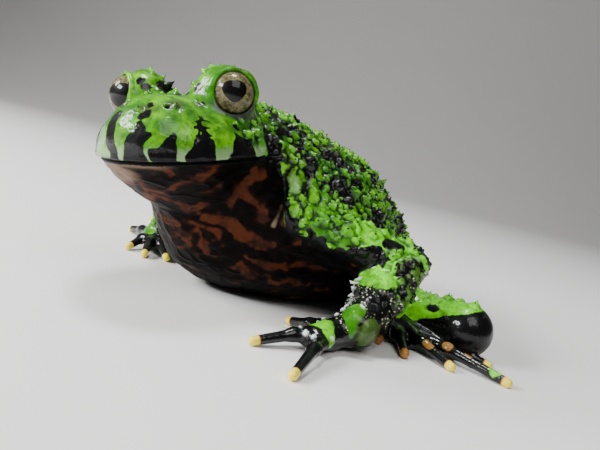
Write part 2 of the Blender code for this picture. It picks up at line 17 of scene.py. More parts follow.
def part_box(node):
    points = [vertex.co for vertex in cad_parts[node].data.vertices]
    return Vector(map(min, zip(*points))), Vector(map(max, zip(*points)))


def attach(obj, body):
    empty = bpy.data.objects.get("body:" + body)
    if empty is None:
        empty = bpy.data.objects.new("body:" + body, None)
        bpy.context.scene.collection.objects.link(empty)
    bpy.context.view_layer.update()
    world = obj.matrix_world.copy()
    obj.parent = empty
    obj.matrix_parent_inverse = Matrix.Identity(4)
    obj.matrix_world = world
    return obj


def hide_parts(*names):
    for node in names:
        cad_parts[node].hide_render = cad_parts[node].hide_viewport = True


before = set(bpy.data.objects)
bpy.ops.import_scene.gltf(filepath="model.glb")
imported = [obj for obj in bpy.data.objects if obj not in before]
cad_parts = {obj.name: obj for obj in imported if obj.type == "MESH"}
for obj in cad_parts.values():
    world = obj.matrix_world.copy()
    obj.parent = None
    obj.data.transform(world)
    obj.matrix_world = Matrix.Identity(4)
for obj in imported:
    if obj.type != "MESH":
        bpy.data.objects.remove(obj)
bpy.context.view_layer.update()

MM = 0.001
SIDES = {"left": 1, "right": -1}     # which way along y each side lies

# ---------------------------------------------------------------- driving sizes, as in the solids

MIDLINE = 0.8               # y of the plane that the trunk and hind legs mirror across

NECK = np.array((10.25, -0.1, 14.95))
HEAD_YAW = math.radians(27.0)
HEAD_PITCH = math.radians(-7.0)
HEAD_ROLL = math.radians(11.0)
# masses of the head: centre, from the neck in the head's own directions, and radii
SKULL = ((2.1, 0.0, -0.9), (10.2, 7.3, 4.2))
SNOUT = ((7.6, 0.0, 0.6), (4.2, 3.8, 2.9))
JAW = ((1.0, 0.0, -2.6), (8.6, 6.3, 2.2))
BROWS = (
    ((2.9, 4.1, 3.25), (2.8, 2.25, 2.9)),
    ((3.4, 2.9, 3.3), (2.0, 1.6, 2.2)),
    ((2.9, -4.1, 3.15), (2.7, 2.1, 2.6)),
)

EYE_RADIUS = 1.95
EYE_SEATS = {1: (3.2, 4.15, 3.65), -1: (3.2, -4.4, 3.25)}   # of the left and the right eye
EYE_TURN = math.radians(42.0)
EYE_RISE = 0.10
EYE_STAND_OUT = 0.9
LID_OPENING = math.radians(73.0)
LID_CLEARANCE = 0.14        # of the middle of the lids' rim from the eyeball
LID_RADII = (0.21, 0.15)    # of the upper and the lower lid
EYE_GAP = 0.03
LID_SET_BACK = 0.15         # of the ground round the eyeball behind the lids' rim
OPENING_BLEND = 0.25        # how softly that ground meets the skin
LID_BLEND = 0.45            # how softly the lids grow out of the skin

MOUTH_MIDDLE = (1.0, 0.0, -1.7)
NOSTRIL = (9.9, 1.9, 2.55)
NOSTRIL_RADIUS = 0.26

# masses of the trunk: centre and radii
CHEST = ((4.0, 0.9, 10.3), (8.3, 8.8, 8.5))
BACK = ((-4.0, 0.9, 9.0), (10.5, 10.6, 8.2))
RUMP = ((-12.0, 0.9, 6.4), (9.8, 9.0, 6.4))
BELLY = ((-4.4, 0.9, 4.6), (12.1, 9.8, 4.7))
# jaw end of the throat, in the head's own directions, and its radius, then the same at the chest
THROAT = ((4.5, 0.0, -3.0), 3.2, (7.0, 0.0, 8.0), 5.5)

ARMS = {
    "left": {
        "shoulder": (4.2, 8.4, 9.3), "elbow": (-3.9, 16.3, 7.0),
        "wrist": (3.1, 17.7, 2.1), "palm": (5.8, 17.0, 1.2),
        "tips": ((3.2, 12.4), (5.0, 11.7), (12.7, 14.9), (14.3, 20.9)),
    },
    "right": {
        "shoulder": (4.6, -7.0, 9.3), "elbow": (-2.3, -13.9, 6.8),
        "wrist": (1.8, -13.3, 2.6), "palm": (2.9, -13.8, 1.2),
        "tips": ((5.4, -7.3), (7.5, -8.6), (7.7, -11.5), (1.8, -20.2)),
    },
}
SHOULDER_RADIUS = 2.9
ELBOW_RADIUS = 2.35
WRIST_RADIUS = 1.8
PALM_RADIUS = 1.25
KNUCKLES = ((8.0, 17.1, 1.15), 1.05)    # front end of the left palm and its radius
FINGER_RADII = (0.92, 0.50, 0.39)

LEG = {
    "hip": (-14.5, 6.4, 3.0), "thigh": (-12.3, 13.5, 1.85), "knee": (-9.4, 21.9, 2.5),
    "calf": (-8.4, 15.5, 2.15), "ankle": (-8.6, 9.6, 1.9), "sole": (-5.6, 16.2, 1.1),
    "tips": ((-1.2, 17.6), (-0.9, 20.8), (-3.3, 24.3), (-6.1, 28.5), (-8.6, 25.4)),
}
HIP_RADIUS = 3.1
THIGH_RADIUS = 1.95
KNEE_RADIUS = 2.5
CALF_RADIUS = 2.1
ANKLE_RADIUS = 1.8
SOLE_RADIUS = 1.1
TOE_RADII = (0.95, 0.50, 0.42)
DIGIT_ARCH = 0.3
TIP_HEIGHT = 0.4
WEB_MIDDLE = 0.38           # height of the webs between the toes
WEB_THICKNESS = 0.34
WEB_REACH = 0.66            # how far towards the toes' tips they reach
WEB_HOLLOW = (0.35, 0.6)    # in widths of a web: place and radius of the circle that hollows its edge

BLENDS = {      # how softly a part's masses join each other, and how softly it joins the rest
    "torso": (4.0, 0.0), "head": (1.6, 2.5), "upper_arm": (0.5, 1.6), "forearm": (0.5, 1.0),
    "hand": (0.6, 0.8), "thigh": (1.0, 1.5), "shank": (1.0, 0.8), "foot": (0.6, 0.6),
}

# ---------------------------------------------------------------- fineness

CELL = 0.2
BLOCK = 6                   # cells across one block of the grid
FAR = 60.0                  # stands for any distance that doesn't matter
REGION_REACH = 6.0          # how far round its box a region is worked out
GRID_MARGIN = 1.0           # of the grid round the body
FLOOR_CELLS = 1.4           # how many cells the grid goes below the floor
NEAR_BLOCKS = 1.5           # how far from the surface, in blocks, a block still gets worked out
BLOCKS_AT_ONCE = 1500


# ---------------------------------------------------------------- field of the body

def turn_matrix(yaw, pitch, roll):
    """Rotation that yaws about z, then lifts the nose, then rolls."""
    return np.array(Matrix.Rotation(yaw, 3, "Z") @ Matrix.Rotation(-pitch, 3, "Y")
                    @ Matrix.Rotation(roll, 3, "X"))


UPRIGHT = np.eye(3)
HEAD_TURN = turn_matrix(HEAD_YAW, HEAD_PITCH, HEAD_ROLL)


def on_head(x, y, z):
    """Place of a point that is given from the neck joint, in the head's own directions."""
    return NECK + HEAD_TURN @ np.array((x, y, z))


def in_head(points):
    """The head's own coordinates of points."""
    return (points - NECK) @ HEAD_TURN


class Ball:
    """An ellipsoid."""

    def __init__(self, centre, radii, turn=UPRIGHT):
        self.centre = np.array(centre)
        self.radii = np.array(radii)
        self.turn = turn
        reach = self.radii.max()
        self.low = self.centre - reach
        self.high = self.centre + reach

    def distance(self, points):
        local = (points - self.centre) @ self.turn
        scaled = np.linalg.norm(local / self.radii, axis=1)
        slope = np.linalg.norm(local / self.radii ** 2, axis=1) + 1e-9
        return scaled * (scaled - 1.0) / slope


class Bone:
    """A cone with round ends, from one joint to the next."""

    def __init__(self, start, start_radius, end, end_radius):
        self.start = np.array(start)
        self.end = np.array(end)
        self.radii = (start_radius, end_radius)
        reach = max(self.radii)
        self.low = np.minimum(self.start, self.end) - reach
        self.high = np.maximum(self.start, self.end) + reach

    def distance(self, points):
        along = self.end - self.start
        length = np.linalg.norm(along)
        offset = points - self.start
        height = offset @ (along / length)
        across = np.sqrt(np.maximum((offset ** 2).sum(axis=1) - height ** 2, 0.0))
        taper = (self.radii[0] - self.radii[1]) / length
        lean = taper / math.sqrt(1.0 - taper ** 2)
        share = np.clip((height + across * lean) / length, 0.0, 1.0)
        radius = self.radii[0] + (self.radii[1] - self.radii[0]) * share
        return np.hypot(height - share * length, across) - radius


class Web:
    """A thin plate between two toes, with a hollow outer edge."""

    def __init__(self, root, one, other):
        self.corners = [np.array(point[:2]) for point in (root, one, other)]
        self.low = np.array((*np.min(self.corners, axis=0), 0.0))
        self.high = np.array((*np.max(self.corners, axis=0), 2 * WEB_MIDDLE))

    def distance(self, points):
        root, one, other = self.corners
        place = points[:, :2]
        turn = (one[0] - root[0]) * (other[1] - root[1]) - (one[1] - root[1]) * (other[0] - root[0])
        result = np.abs(points[:, 2] - WEB_MIDDLE) - WEB_THICKNESS / 2
        for start, end in ((root, one), (one, other), (other, root)):
            run = (end - start) / np.linalg.norm(end - start)
            out = np.array((run[1], -run[0])) * np.sign(turn)
            result = np.maximum(result, (place - start) @ out)
        width = np.linalg.norm(other - one)
        middle = (one + other) / 2
        out = (middle - root) / np.linalg.norm(middle - root)
        away, radius = WEB_HOLLOW
        hollow = middle + out * away * width
        return np.maximum(result, radius * width - np.linalg.norm(place - hollow, axis=1))


def bones(*joints):
    """Bones through a run of (place, radius) joints."""
    return [Bone(*joint, *following) for joint, following in zip(joints, joints[1:])]


def blend(first, second, width):
    """Smooth union of two distances."""
    overlap = np.maximum(width - np.abs(first - second), 0.0) / width
    return np.minimum(first, second) - overlap ** 2 * width * 0.25


class Region:
    """The masses of one part of the body, how they blend, and how softly they join the rest."""

    def __init__(self, masses, inner_blend, joint_blend):
        self.masses = masses
        self.inner_blend = inner_blend
        self.joint_blend = joint_blend
        self.low = np.min([mass.low for mass in masses], axis=0) - REGION_REACH
        self.high = np.max([mass.high for mass in masses], axis=0) + REGION_REACH

    def distance(self, points):
        result = np.full(len(points), FAR)
        near = np.all((points > self.low) & (points < self.high), axis=1)
        if near.any():
            place = points[near]
            inner = self.masses[0].distance(place)
            for mass in self.masses[1:]:
                inner = blend(inner, mass.distance(place), self.inner_blend)
            result[near] = inner
        return result


def digits(root, radii, tips):
    """Bones of each finger or toe, arched a little between its root and its tip."""
    made = []
    for x, y in tips:
        tip = np.array((x, y, TIP_HEIGHT))
        middle = (np.array(root) + tip) / 2 + np.array((0.0, 0.0, DIGIT_ARCH))
        made += bones((root, radii[0]), (middle, radii[1]), (tip, radii[2]))
    return made


def toe_webs(leg):
    root = np.array(leg["sole"][:2])
    ends = [root + WEB_REACH * (np.array(tip) - root) for tip in leg["tips"]]
    return [Web(root, one, other) for one, other in zip(ends, ends[1:])]


def leg_joints(side):
    """The left leg's joints, or their mirror image for the right one."""
    if side == "left":
        return LEG
    mirrored = {name: (place[0], 2 * MIDLINE - place[1], place[2])
                for name, place in LEG.items() if name != "tips"}
    return {**mirrored, "tips": tuple((x, 2 * MIDLINE - y) for x, y in LEG["tips"])}


def trunk_masses():
    """The masses of the torso, with the throat, and of the head."""
    jaw_end, jaw_radius, chest_end, chest_radius = THROAT
    torso = [Ball(*form) for form in (CHEST, BACK, RUMP, BELLY)]
    torso.append(Bone(on_head(*jaw_end), jaw_radius, chest_end, chest_radius))
    head = [Ball(on_head(*centre), radii, HEAD_TURN) for centre, radii in (SKULL, SNOUT, JAW, *BROWS)]
    return {"torso": torso, "head": head}


def limb_masses(side):
    """The masses of each part of one side's arm and leg."""
    arm = ARMS[side]
    leg = leg_joints(side)
    middle = tuple((np.array(arm["elbow"]) + np.array(arm["wrist"])) / 2)
    hand = bones((arm["wrist"], WRIST_RADIUS), (arm["palm"], PALM_RADIUS))
    if side == "left":
        hand += bones((arm["palm"], PALM_RADIUS), KNUCKLES)
    foot = bones((leg["ankle"], ANKLE_RADIUS), (leg["sole"], SOLE_RADIUS))
    return {
        "upper_arm": bones((arm["shoulder"], SHOULDER_RADIUS), (arm["elbow"], ELBOW_RADIUS)),
        "forearm": bones((arm["elbow"], ELBOW_RADIUS), (middle, ELBOW_RADIUS),
                         (arm["wrist"], WRIST_RADIUS)),
        "hand": hand + digits(arm["palm"], FINGER_RADII, arm["tips"]),
        "thigh": bones((leg["hip"], HIP_RADIUS), (leg["thigh"], THIGH_RADIUS), (leg["knee"], KNEE_RADIUS)),
        "shank": bones((leg["knee"], KNEE_RADIUS), (leg["calf"], CALF_RADIUS),
                       (leg["ankle"], ANKLE_RADIUS)),
        "foot": foot + digits(leg["sole"], TOE_RADII, leg["tips"]) + toe_webs(leg),
    }


def body_regions():
    made = {name: Region(masses, *BLENDS[name]) for name, masses in trunk_masses().items()}
    for side in SIDES:
        for name, masses in limb_masses(side).items():
            made[name + "_" + side] = Region(masses, *BLENDS[name])
    return made


REGIONS = body_regions()


def eye_axis(side):
    """Direction in which an eye looks; side is 1 for the left one."""
    axis = HEAD_TURN @ np.array((math.cos(EYE_TURN), side * math.sin(EYE_TURN), EYE_RISE))
    return axis / np.linalg.norm(axis)


def eye_centre(side):
    return on_head(*EYE_SEATS[side]) + eye_axis(side) * EYE_STAND_OUT


def with_eye_opening(result, points, side):
    """Clear the skin in front of an eye, raise the rim of its lids and hollow the socket."""
    axis = eye_axis(side)
    offset = points - eye_centre(side)
    near = np.linalg.norm(offset, axis=1) < 2 * EYE_RADIUS
    if not near.any():
        return result
    offset = offset[near]
    value = result[near]
    along = offset @ axis
    out = offset - along[:, None] * axis
    across = np.linalg.norm(out, axis=1)
    rim_height = EYE_RADIUS * math.cos(LID_OPENING)
    rim_radius = EYE_RADIUS * math.sin(LID_OPENING)
    front = np.maximum(across - rim_radius, rim_height - LID_SET_BACK - along)
    value = -blend(-value, front, OPENING_BLEND)
    upper = np.clip(0.5 + out[:, 2] / (2 * rim_radius), 0.0, 1.0)
    thickness = LID_RADII[1] + upper * (LID_RADII[0] - LID_RADII[1])
    reach = EYE_RADIUS + LID_CLEARANCE
    ring = np.hypot(across - reach * math.sin(LID_OPENING),
                    along - reach * math.cos(LID_OPENING)) - thickness
    value = blend(value, ring, LID_BLEND)
    value = np.maximum(value, EYE_RADIUS + EYE_GAP - np.linalg.norm(offset, axis=1))
    result = result.copy()
    result[near] = value
    return result


def skin_distance(points):
    """Distance to the whole skin, with the floor, the lids and the eye sockets."""
    result = REGIONS["torso"].distance(points)
    for name, region in REGIONS.items():
        if name != "torso":
            result = blend(result, region.distance(points), region.joint_blend)
    for side in SIDES.values():
        result = with_eye_opening(result, points, side)
    return np.maximum(result, -points[:, 2])


# ---------------------------------------------------------------- mesh of the skin

CORNERS = list(product((0, 1), repeat=3))
NEIGHBOURS = list(product((-1, 0, 1), repeat=3))


def grid_values(distance, low, counts, cell):
    """Distances on a regular grid, worked out in full only in blocks near the surface."""
    blocks = -(-counts // BLOCK)
    step = BLOCK * cell
    axes = [low[i] + step * (np.arange(blocks[i]) + 0.5) - cell / 2 for i in range(3)]
    centres = np.stack(np.meshgrid(*axes, indexing="ij"), axis=-1).reshape(-1, 3)
    rough = distance(centres).reshape(blocks).astype(np.float32)
    value = rough
    for axis in range(3):
        value = np.repeat(value, BLOCK, axis=axis)
    near = np.argwhere(np.abs(rough) < NEAR_BLOCKS * step)
    inner = np.stack(np.meshgrid(*[np.arange(BLOCK)] * 3, indexing="ij"), axis=-1).reshape(-1, 3)
    for part in np.array_split(near, max(1, len(near) // BLOCKS_AT_ONCE)):
        index = (part[:, None] * BLOCK + inner).reshape(-1, 3)
        value[tuple(index.T)] = distance(low + cell * index)
    return value[:counts[0], :counts[1], :counts[2]]


def cell_points(value, cells):
    """The middle of the places where the surface crosses each cell's edges."""
    total = np.zeros(cells.shape)
    count = np.zeros(len(cells))
    for corner in CORNERS:
        for axis in range(3):
            if corner[axis]:
                continue
            far = np.array(corner)
            far[axis] = 1
            near_value = value[tuple((cells + corner).T)]
            far_value = value[tuple((cells + far).T)]
            crossed = (near_value < 0) != (far_value < 0)
            span = np.where(crossed, near_value - far_value, 1.0)
            place = np.tile(np.array(corner, dtype=float), (len(cells), 1))
            place[:, axis] += near_value / span
            total += place * crossed[:, None]
            count += crossed
    return cells + total / count[:, None]


def crossed_quads(inside, index):
    """One quad round each grid edge that the surface crosses."""
    quads = []
    for axis in range(3):
        first, second = ((1, 2), (2, 0), (0, 1))[axis]
        near = np.take(inside, range(inside.shape[axis] - 1), axis)
        far = np.take(inside, range(1, inside.shape[axis]), axis)
        for leaving, order in ((near & ~far, 1), (far & ~near, -1)):
            edges = np.argwhere(leaving)
            ring = []
            for step_first, step_second in ((1, 1), (0, 1), (0, 0), (1, 0)):
                cell = edges.copy()
                cell[:, first] -= step_first
                cell[:, second] -= step_second
                ring.append(index[tuple(cell.T)])
            quads.append(np.stack(ring, axis=1)[:, ::order])
    return np.concatenate(quads)


def surface_of(distance, low, high, cell):
    """Points and quads of the surface where a distance is zero."""
    counts = np.ceil((high - low) / cell).astype(int) + 1
    value = grid_values(distance, low, counts, cell)
    inside = value < 0
    held = sum(inside[i:counts[0] - 1 + i, j:counts[1] - 1 + j,
                      k:counts[2] - 1 + k].astype(np.int8) for i, j, k in CORNERS)
    crossed = (held > 0) & (held < len(CORNERS))
    cells = np.argwhere(crossed)
    index = np.full(crossed.shape, -1, dtype=np.int32)
    index[crossed] = np.arange(len(cells))
    return low + cell * cell_points(value, cells), crossed_quads(inside, index)


def new_object(name, data):
    obj = bpy.data.objects.new(name, data)
    bpy.context.scene.collection.objects.link(obj)
    return obj


def mesh_object(name, points, faces):
    """An object from points in millimetres."""
    mesh = bpy.data.meshes.new(name)
    mesh.from_pydata((points * MM).tolist(), [], faces)
    return new_object(name, mesh)


def points_of(mesh):
    """A mesh's points in millimetres."""
    flat = np.empty(3 * len(mesh.vertices), dtype=np.float32)
    mesh.vertices.foreach_get("co", flat)
    return flat.reshape(-1, 3).astype(float) / MM


def quads_of(mesh):
    flat = np.empty(4 * len(mesh.polygons), dtype=np.int32)
    mesh.polygons.foreach_get("vertices", flat)
    return flat.reshape(-1, 4)


def set_points(mesh, points):
    mesh.vertices.foreach_set("co", (points * MM).astype(np.float32).ravel())
    mesh.update()


def normals_of(points, quads):
    """Smooth directions out of a surface of quads."""
    corner = points[quads]
    face = np.cross(corner[:, 2] - corner[:, 0], corner[:, 3] - corner[:, 1])
    total = np.zeros_like(points)
    for column in range(4):
        for axis in range(3):
            total[:, axis] += np.bincount(quads[:, column], face[:, axis], len(points))
    return total / (np.linalg.norm(total, axis=1)[:, None] + 1e-12)


def smoothed(values, quads, rounds):
    """Rows of values averaged again and again with those of their neighbours."""
    edges = np.concatenate([quads[:, [0, 1]], quads[:, [1, 2]], quads[:, [2, 3]], quads[:, [3, 0]]])
    count = np.bincount(edges[:, 0], minlength=len(values)) + 1.0
    for _ in range(rounds):
        total = values.copy()
        for axis in range(values.shape[1]):
            total[:, axis] += np.bincount(edges[:, 0], values[edges[:, 1], axis], len(values))
        values = total / count[:, None]
    return values


def fine_skin():
    """The skin's mesh: the field's surface, divided once and laid back on the field."""
    low = np.min([region.low for region in REGIONS.values()], axis=0) + REGION_REACH - GRID_MARGIN
    high = np.max([region.high for region in REGIONS.values()], axis=0) - REGION_REACH + GRID_MARGIN
    low[2] = -FLOOR_CELLS * CELL
    points, quads = surface_of(skin_distance, low, high, CELL)
    obj = mesh_object("skin", points, quads.tolist())
    divide = obj.modifiers.new("divide", "SUBSURF")
    divide.levels = 1
    divide.render_levels = 1
    graph = bpy.context.evaluated_depsgraph_get()
    mesh = bpy.data.meshes.new_from_object(obj.evaluated_get(graph))
    obj.modifiers.clear()
    obj.data = mesh
    mesh.name = "skin"
    points = points_of(mesh)
    quads = quads_of(mesh)
    for _ in range(2):
        normals = normals_of(points, quads)
        points -= normals * np.clip(skin_distance(points), -CELL, CELL)[:, None]
    return obj, points, quads


# ---------------------------------------------------------------- noise and masks

class Noise:
    """Smooth random values in space, the same each run."""

    SIZE = 32

    def __init__(self, seed):
        chance = np.random.default_rng(seed)
        self.table = chance.uniform(-1.0, 1.0, (self.SIZE,) * 3)

    def at(self, points, size):
        """A value from -1 to 1 that changes over about the given size."""
        place = points / size
        cell = np.floor(place).astype(int)
        part = place - cell
        part = part * part * (3.0 - 2.0 * part)
        total = np.zeros(len(points))
        for corner in CORNERS:
            weight = np.ones(len(points))
            for axis in range(3):
                weight *= part[:, axis] if corner[axis] else 1.0 - part[:, axis]
            total += weight * self.table[tuple(((cell + corner) % self.SIZE).T)]
        return total

    def rough(self, points, size, layers=3):
        """Noise with finer noise on top."""
        total = np.zeros(len(points))
        for layer in range(layers):
            total += self.at(points + 7.3 * layer, size * 0.5 ** layer) * 0.5 ** layer
        return total


def rise(value, start, end):
    """0 below start, 1 above end, and smooth between them."""
    share = np.clip((value - start) / (end - start), 0.0, 1.0)
    return share * share * (3.0 - 2.0 * share)


def plateau(value, start, full, leave, end):
    """1 from full to leave, and falling smoothly to 0 at start and end."""
    return rise(value, start, full) * (1.0 - rise(value, leave, end))


def bell(value, middle, width):
    """1 at the middle, falling to nearly 0 at two widths from it."""
    return np.exp(-((value - middle) / width) ** 2)


def bent_places(places, seed, size, strength, layers=3, step=11.0):
    """Places pushed about by noise, so that shapes laid on them get ragged edges."""
    warp = Noise(seed)
    return places + strength * np.stack([warp.rough(places + step * axis, size, layers)
                                         for axis in range(3)], axis=1)


def distance_from(centre, points, radii=1.0):
    """Distance of points from a centre, measured in the radii of an ellipsoid where they are given."""
    return np.linalg.norm((points - np.array(centre)) / radii, axis=1)


def ellipsoid_field(points, centre, radii):
    """How far inside an ellipsoid points are, roughly in millimetres."""
    return (1.0 - distance_from(centre, points, radii)) * min(radii)


def spots_field(points, spots):
    """How far inside the nearest of several ellipsoids points are."""
    return np.max([ellipsoid_field(points, *spot) for spot in spots], axis=0)


def soft_spots(points, spots):
    """1 inside any of the spots, 0 outside them, and soft at their edges."""
    return rise(spots_field(points, spots), -0.25, 0.35)


def line_distance(points, line):
    """Distance from points to a line through several places, and how far along it they are."""
    best = np.full(len(points), FAR)
    share = np.zeros(len(points))
    line = [np.array(place, dtype=float) for place in line]
    count = len(line) - 1
    for number, (start, end) in enumerate(zip(line, line[1:])):
        run = end - start
        along = np.clip((points - start) @ run / (run @ run), 0.0, 1.0)
        gap = np.linalg.norm(points - start - along[:, None] * run, axis=1)
        nearer = gap < best
        best = np.where(nearer, gap, best)
        share = np.where(nearer, (number + along) / count, share)
    return best, share


# ---------------------------------------------------------------- parts of the skin

class Skin:
    """The skin's points with what is known about each of them."""

    def __init__(self, points, quads):
        self.points = points
        self.quads = quads
        self.normals = normals_of(points, quads)
        self.rest = points.copy()
        names = list(REGIONS)
        distances = np.stack([REGIONS[name].distance(points) for name in names], axis=1)
        nearest = distances.argmin(axis=1)
        self.is_part = {name: nearest == number for number, name in enumerate(names)}
        self.distance_to = dict(zip(names, distances.T))
        self.head = in_head(points)

    def near_part(self, name, width):
        """1 on a part, falling to 0 over a width beyond it."""
        return 1.0 - rise(self.distance_to[name], 0.0, width)

    def near_any(self, names, width):
        """The same for several parts of both sides."""
        return np.max([self.near_part(name + side, width) for name in names for side in SIDES], axis=0)

    def from_wrist(self, side):
        return distance_from(ARMS[side]["wrist"], self.rest)

    def push(self, amount):
        """Move points outwards along the skin's direction."""
        self.points = self.points + self.normals * amount[:, None]

    def refresh(self):
        self.normals = normals_of(self.points, self.quads)


MOUTH_CORNER = (0.4, 1.4)   # x of the head where the line of the mouth fades out
CHEEK_WIDTH = 2.6           # how far past the head's own masses its lips reach on to the cheek
LIP_FORMS = (       # upper lip, lower lip and the line between them: how far out, height, half width
    (0.10, 0.42, 0.28), (0.02, -0.45, 0.25), (-0.38, 0.0, 0.13),
)
JAW_SET_BACK = 0.22         # of the lower jaw under the upper lip
JAW_DEPTHS = (0.0, 0.35, 1.0, 4.0)      # under the mouth, where the set-back of the jaw begins and ends
NOSTRIL_RIM = (1.6, 0.7, 0.07)          # its radius and width, in radii of the nostril, and its height
NOSTRIL_DEPTH = 0.42


def mouth_height(skin):
    """Height above the line of the mouth, in the head's own directions."""
    return skin.head[:, 2] - MOUTH_MIDDLE[2]


def shape_mouth(skin):
    """Lips that meet in a fine dark line, with the lower jaw set back under the upper lip."""
    height = mouth_height(skin)
    front = rise(skin.head[:, 0], *MOUTH_CORNER) * skin.near_part("head", CHEEK_WIDTH)
    out = sum(reach * bell(height, middle, width) for reach, middle, width in LIP_FORMS)
    skin.push(front * (out - JAW_SET_BACK * plateau(-height, *JAW_DEPTHS)))


def shape_nostrils(skin):
    x, y, z = NOSTRIL
    radius, width, height = NOSTRIL_RIM
    for side in SIDES.values():
        away = distance_from((x, side * y, z), skin.head) / NOSTRIL_RADIUS
        skin.push(height * bell(away, radius, width) - NOSTRIL_DEPTH * bell(away, 0.0, 1.0))


def head_line(*places):
    """A line whose places are given in the head's own directions."""
    return tuple(tuple(on_head(*place)) for place in places)


FOLDS = (   # lines of the skin's folds: places, depth, width
    (((7.6, 8.4, 14.2), (6.9, 8.9, 12.6), (6.6, 9.2, 10.6)), 0.28, 0.32),
    (((4.9, 8.7, 15.0), (4.3, 8.9, 13.8), (4.9, 9.8, 12.2), (5.5, 10.1, 10.8)), 0.42, 0.45),
    (((6.9, 8.0, 15.4), (6.3, 8.5, 14.2), (7.2, 8.9, 12.0)), 0.22, 0.26),
    (((7.9, -7.0, 13.6), (7.4, -8.2, 12.0), (7.0, -8.6, 10.0)), 0.26, 0.32),
    (((6.0, -8.0, 13.4), (5.8, -8.8, 11.6)), 0.20, 0.30),
    (((-1.9, 15.6, 5.3), (-2.6, 17.3, 5.2), (-4.4, 18.0, 5.4)), 0.18, 0.30),
    (((2.9, 15.6, 3.2), (3.6, 17.9, 3.4), (2.6, 18.9, 3.2)), 0.16, 0.25),
    (((4.1, 18.9, 3.0), (4.6, 18.9, 1.8), (4.2, 18.9, 0.9)), 0.16, 0.25),
    (head_line((6.0, 4.8, 1.95), (4.9, 5.8, 1.65), (2.4, 6.5, 1.75)), 0.13, 0.15),
    (head_line((6.4, 4.2, 2.35), (5.2, 5.6, 1.2), (2.8, 6.6, 1.1)), 0.09, 0.14),
)
SWELLINGS = (   # soft rounded rises of the skin: centre, radii, height
    ((6.2, 9.2, 12.6), (0.9, 0.9, 1.3), 0.40), ((-2.2, 18.4, 7.0), (2.0, 1.4, 1.8), 0.25),
    ((3.9, 19.3, 2.2), (1.2, 0.9, 1.3), 0.28), ((4.6, 18.0, 3.3), (0.9, 0.9, 1.4), 0.22),
)
FOLD_FADE = 0.2             # share of a fold's length over which each end fades out
SWELLING_REACH = 1.3        # how far out a swelling begins, in its radii


def shape_folds(skin):
    for line, depth, width in FOLDS:
        gap, share = line_distance(skin.points, line)
        fade = plateau(share, 0.0, FOLD_FADE, 1.0 - FOLD_FADE, 1.0)
        skin.push(-depth * fade * bell(gap, 0.0, width))
    for centre, radii, height in SWELLINGS:
        skin.push(height * (1.0 - rise(distance_from(centre, skin.points, radii), 0.0, SWELLING_REACH)))


THROAT_WRINKLE = (0.09, 1.5)    # height of the wrinkles, and about how far apart they are
THROAT_STRETCH = (1.0, 1.0, 2.2)    # makes them run level
FINE_WRINKLE = (0.035, 0.7)
LUMPS = (0.27, 1.9)
TAUT_PARTS = ("foot_", "hand_", "shank_", "thigh_")
TAUTNESS = 0.95             # share of the wrinkles that these parts lack
HEAD_TAUTNESS = 0.85        # share of the lumps that the head lacks


def shape_wrinkles(skin):
    """Slack, finely creased skin on the throat and belly, and lumps on the trunk's upper side."""
    slack = belly_field(skin)
    noise = Noise(21)
    loose = np.ones(len(slack))
    for side in SIDES:
        for name in TAUT_PARTS:
            loose *= 1.0 - TAUTNESS * skin.near_part(name + side, 1.0)
    height, size = THROAT_WRINKLE
    crease = 1.0 - np.abs(noise.at(skin.points * THROAT_STRETCH, size))
    skin.push(height * loose * rise(slack, 0.0, 1.5) * (crease ** 3 - 0.4))
    height, size = FINE_WRINKLE
    skin.push(height * loose * noise.rough(skin.points, size, 2))
    height, size = LUMPS
    trunk = loose * (1.0 - rise(slack, -0.8, 0.0)) * (1.0 - HEAD_TAUTNESS * skin.near_part("head", 1.0))
    skin.push(height * trunk * noise.rough(skin.points + 3.0, size, 2))


# ---------------------------------------------------------------- warts

# random seed, number, radii, heights, least spacing in sums of two radii, height of the hard point on top
WartKind = namedtuple("WartKind", "seed count radii heights spacing tip")
WART_KINDS = (
    WartKind(3, 480, (0.48, 0.72), (0.30, 0.42), 0.84, 0.22),
    WartKind(4, 1150, (0.26, 0.42), (0.18, 0.30), 0.82, 0.18),
    WartKind(5, 1000, (0.13, 0.21), (0.08, 0.12), 0.86, 0.0),
)
TRIES = 60                  # places tried for each wart
WART_STRETCH = (0.75, 1.35)  # of its outline to one side
TIP_SHARE = 0.6             # of the warts that have a hard point
TIP_RADIUS = 0.14           # of a hard point
WHOLE_WART = 0.45           # radius from which a wart counts in full for the markings
WART_BEND = (0.16, 0.8)     # how far a wart's outline strays from a circle, and over what length
WART_GRAIN = (0.03, 0.42)   # height and size of the small lumps on the warty skin

WART_SLOPE = (-0.35, 0.25)  # z of the skin's direction where warts set in
FACE_START = (3.5, 6.5)     # x of the head where the smooth face sets in
FAR_CHEEK = (-4.0, 2.0)     # y and z of the head: beyond that y the face sets in further back
FAR_FACE_SHIFT = (2.5, 5.0)  # by so much, and below that z by so much more
FACE_CLEARED = 0.985        # share of the warts that the near half of the face lacks
HEAD_CLEARED = 0.6          # and the rest of the head
LEG_WARTS = (0.45, (0.6, 0.9))  # share of the warts on the top of the legs, and z of its direction
LID_MARGIN = (0.5, 1.1)     # from the eyeball, where warts set in
WRIST_WARTS = 0.12          # share of the warts next to the wrist
WRIST_REACH = (2.6, 4.4)    # from the wrist: nearer than this the skin is smooth and its greens are dull
SMOOTH_ARM = ((-0.2, 14.9, 9.7), (2.7, 2.3, 1.3))       # bright green stretch of the left upper arm
SMOOTH_FOREARM = ((1.0, 16.5, 6.4), (1.7, 2.3, 1.5))    # bright green patch of the left forearm
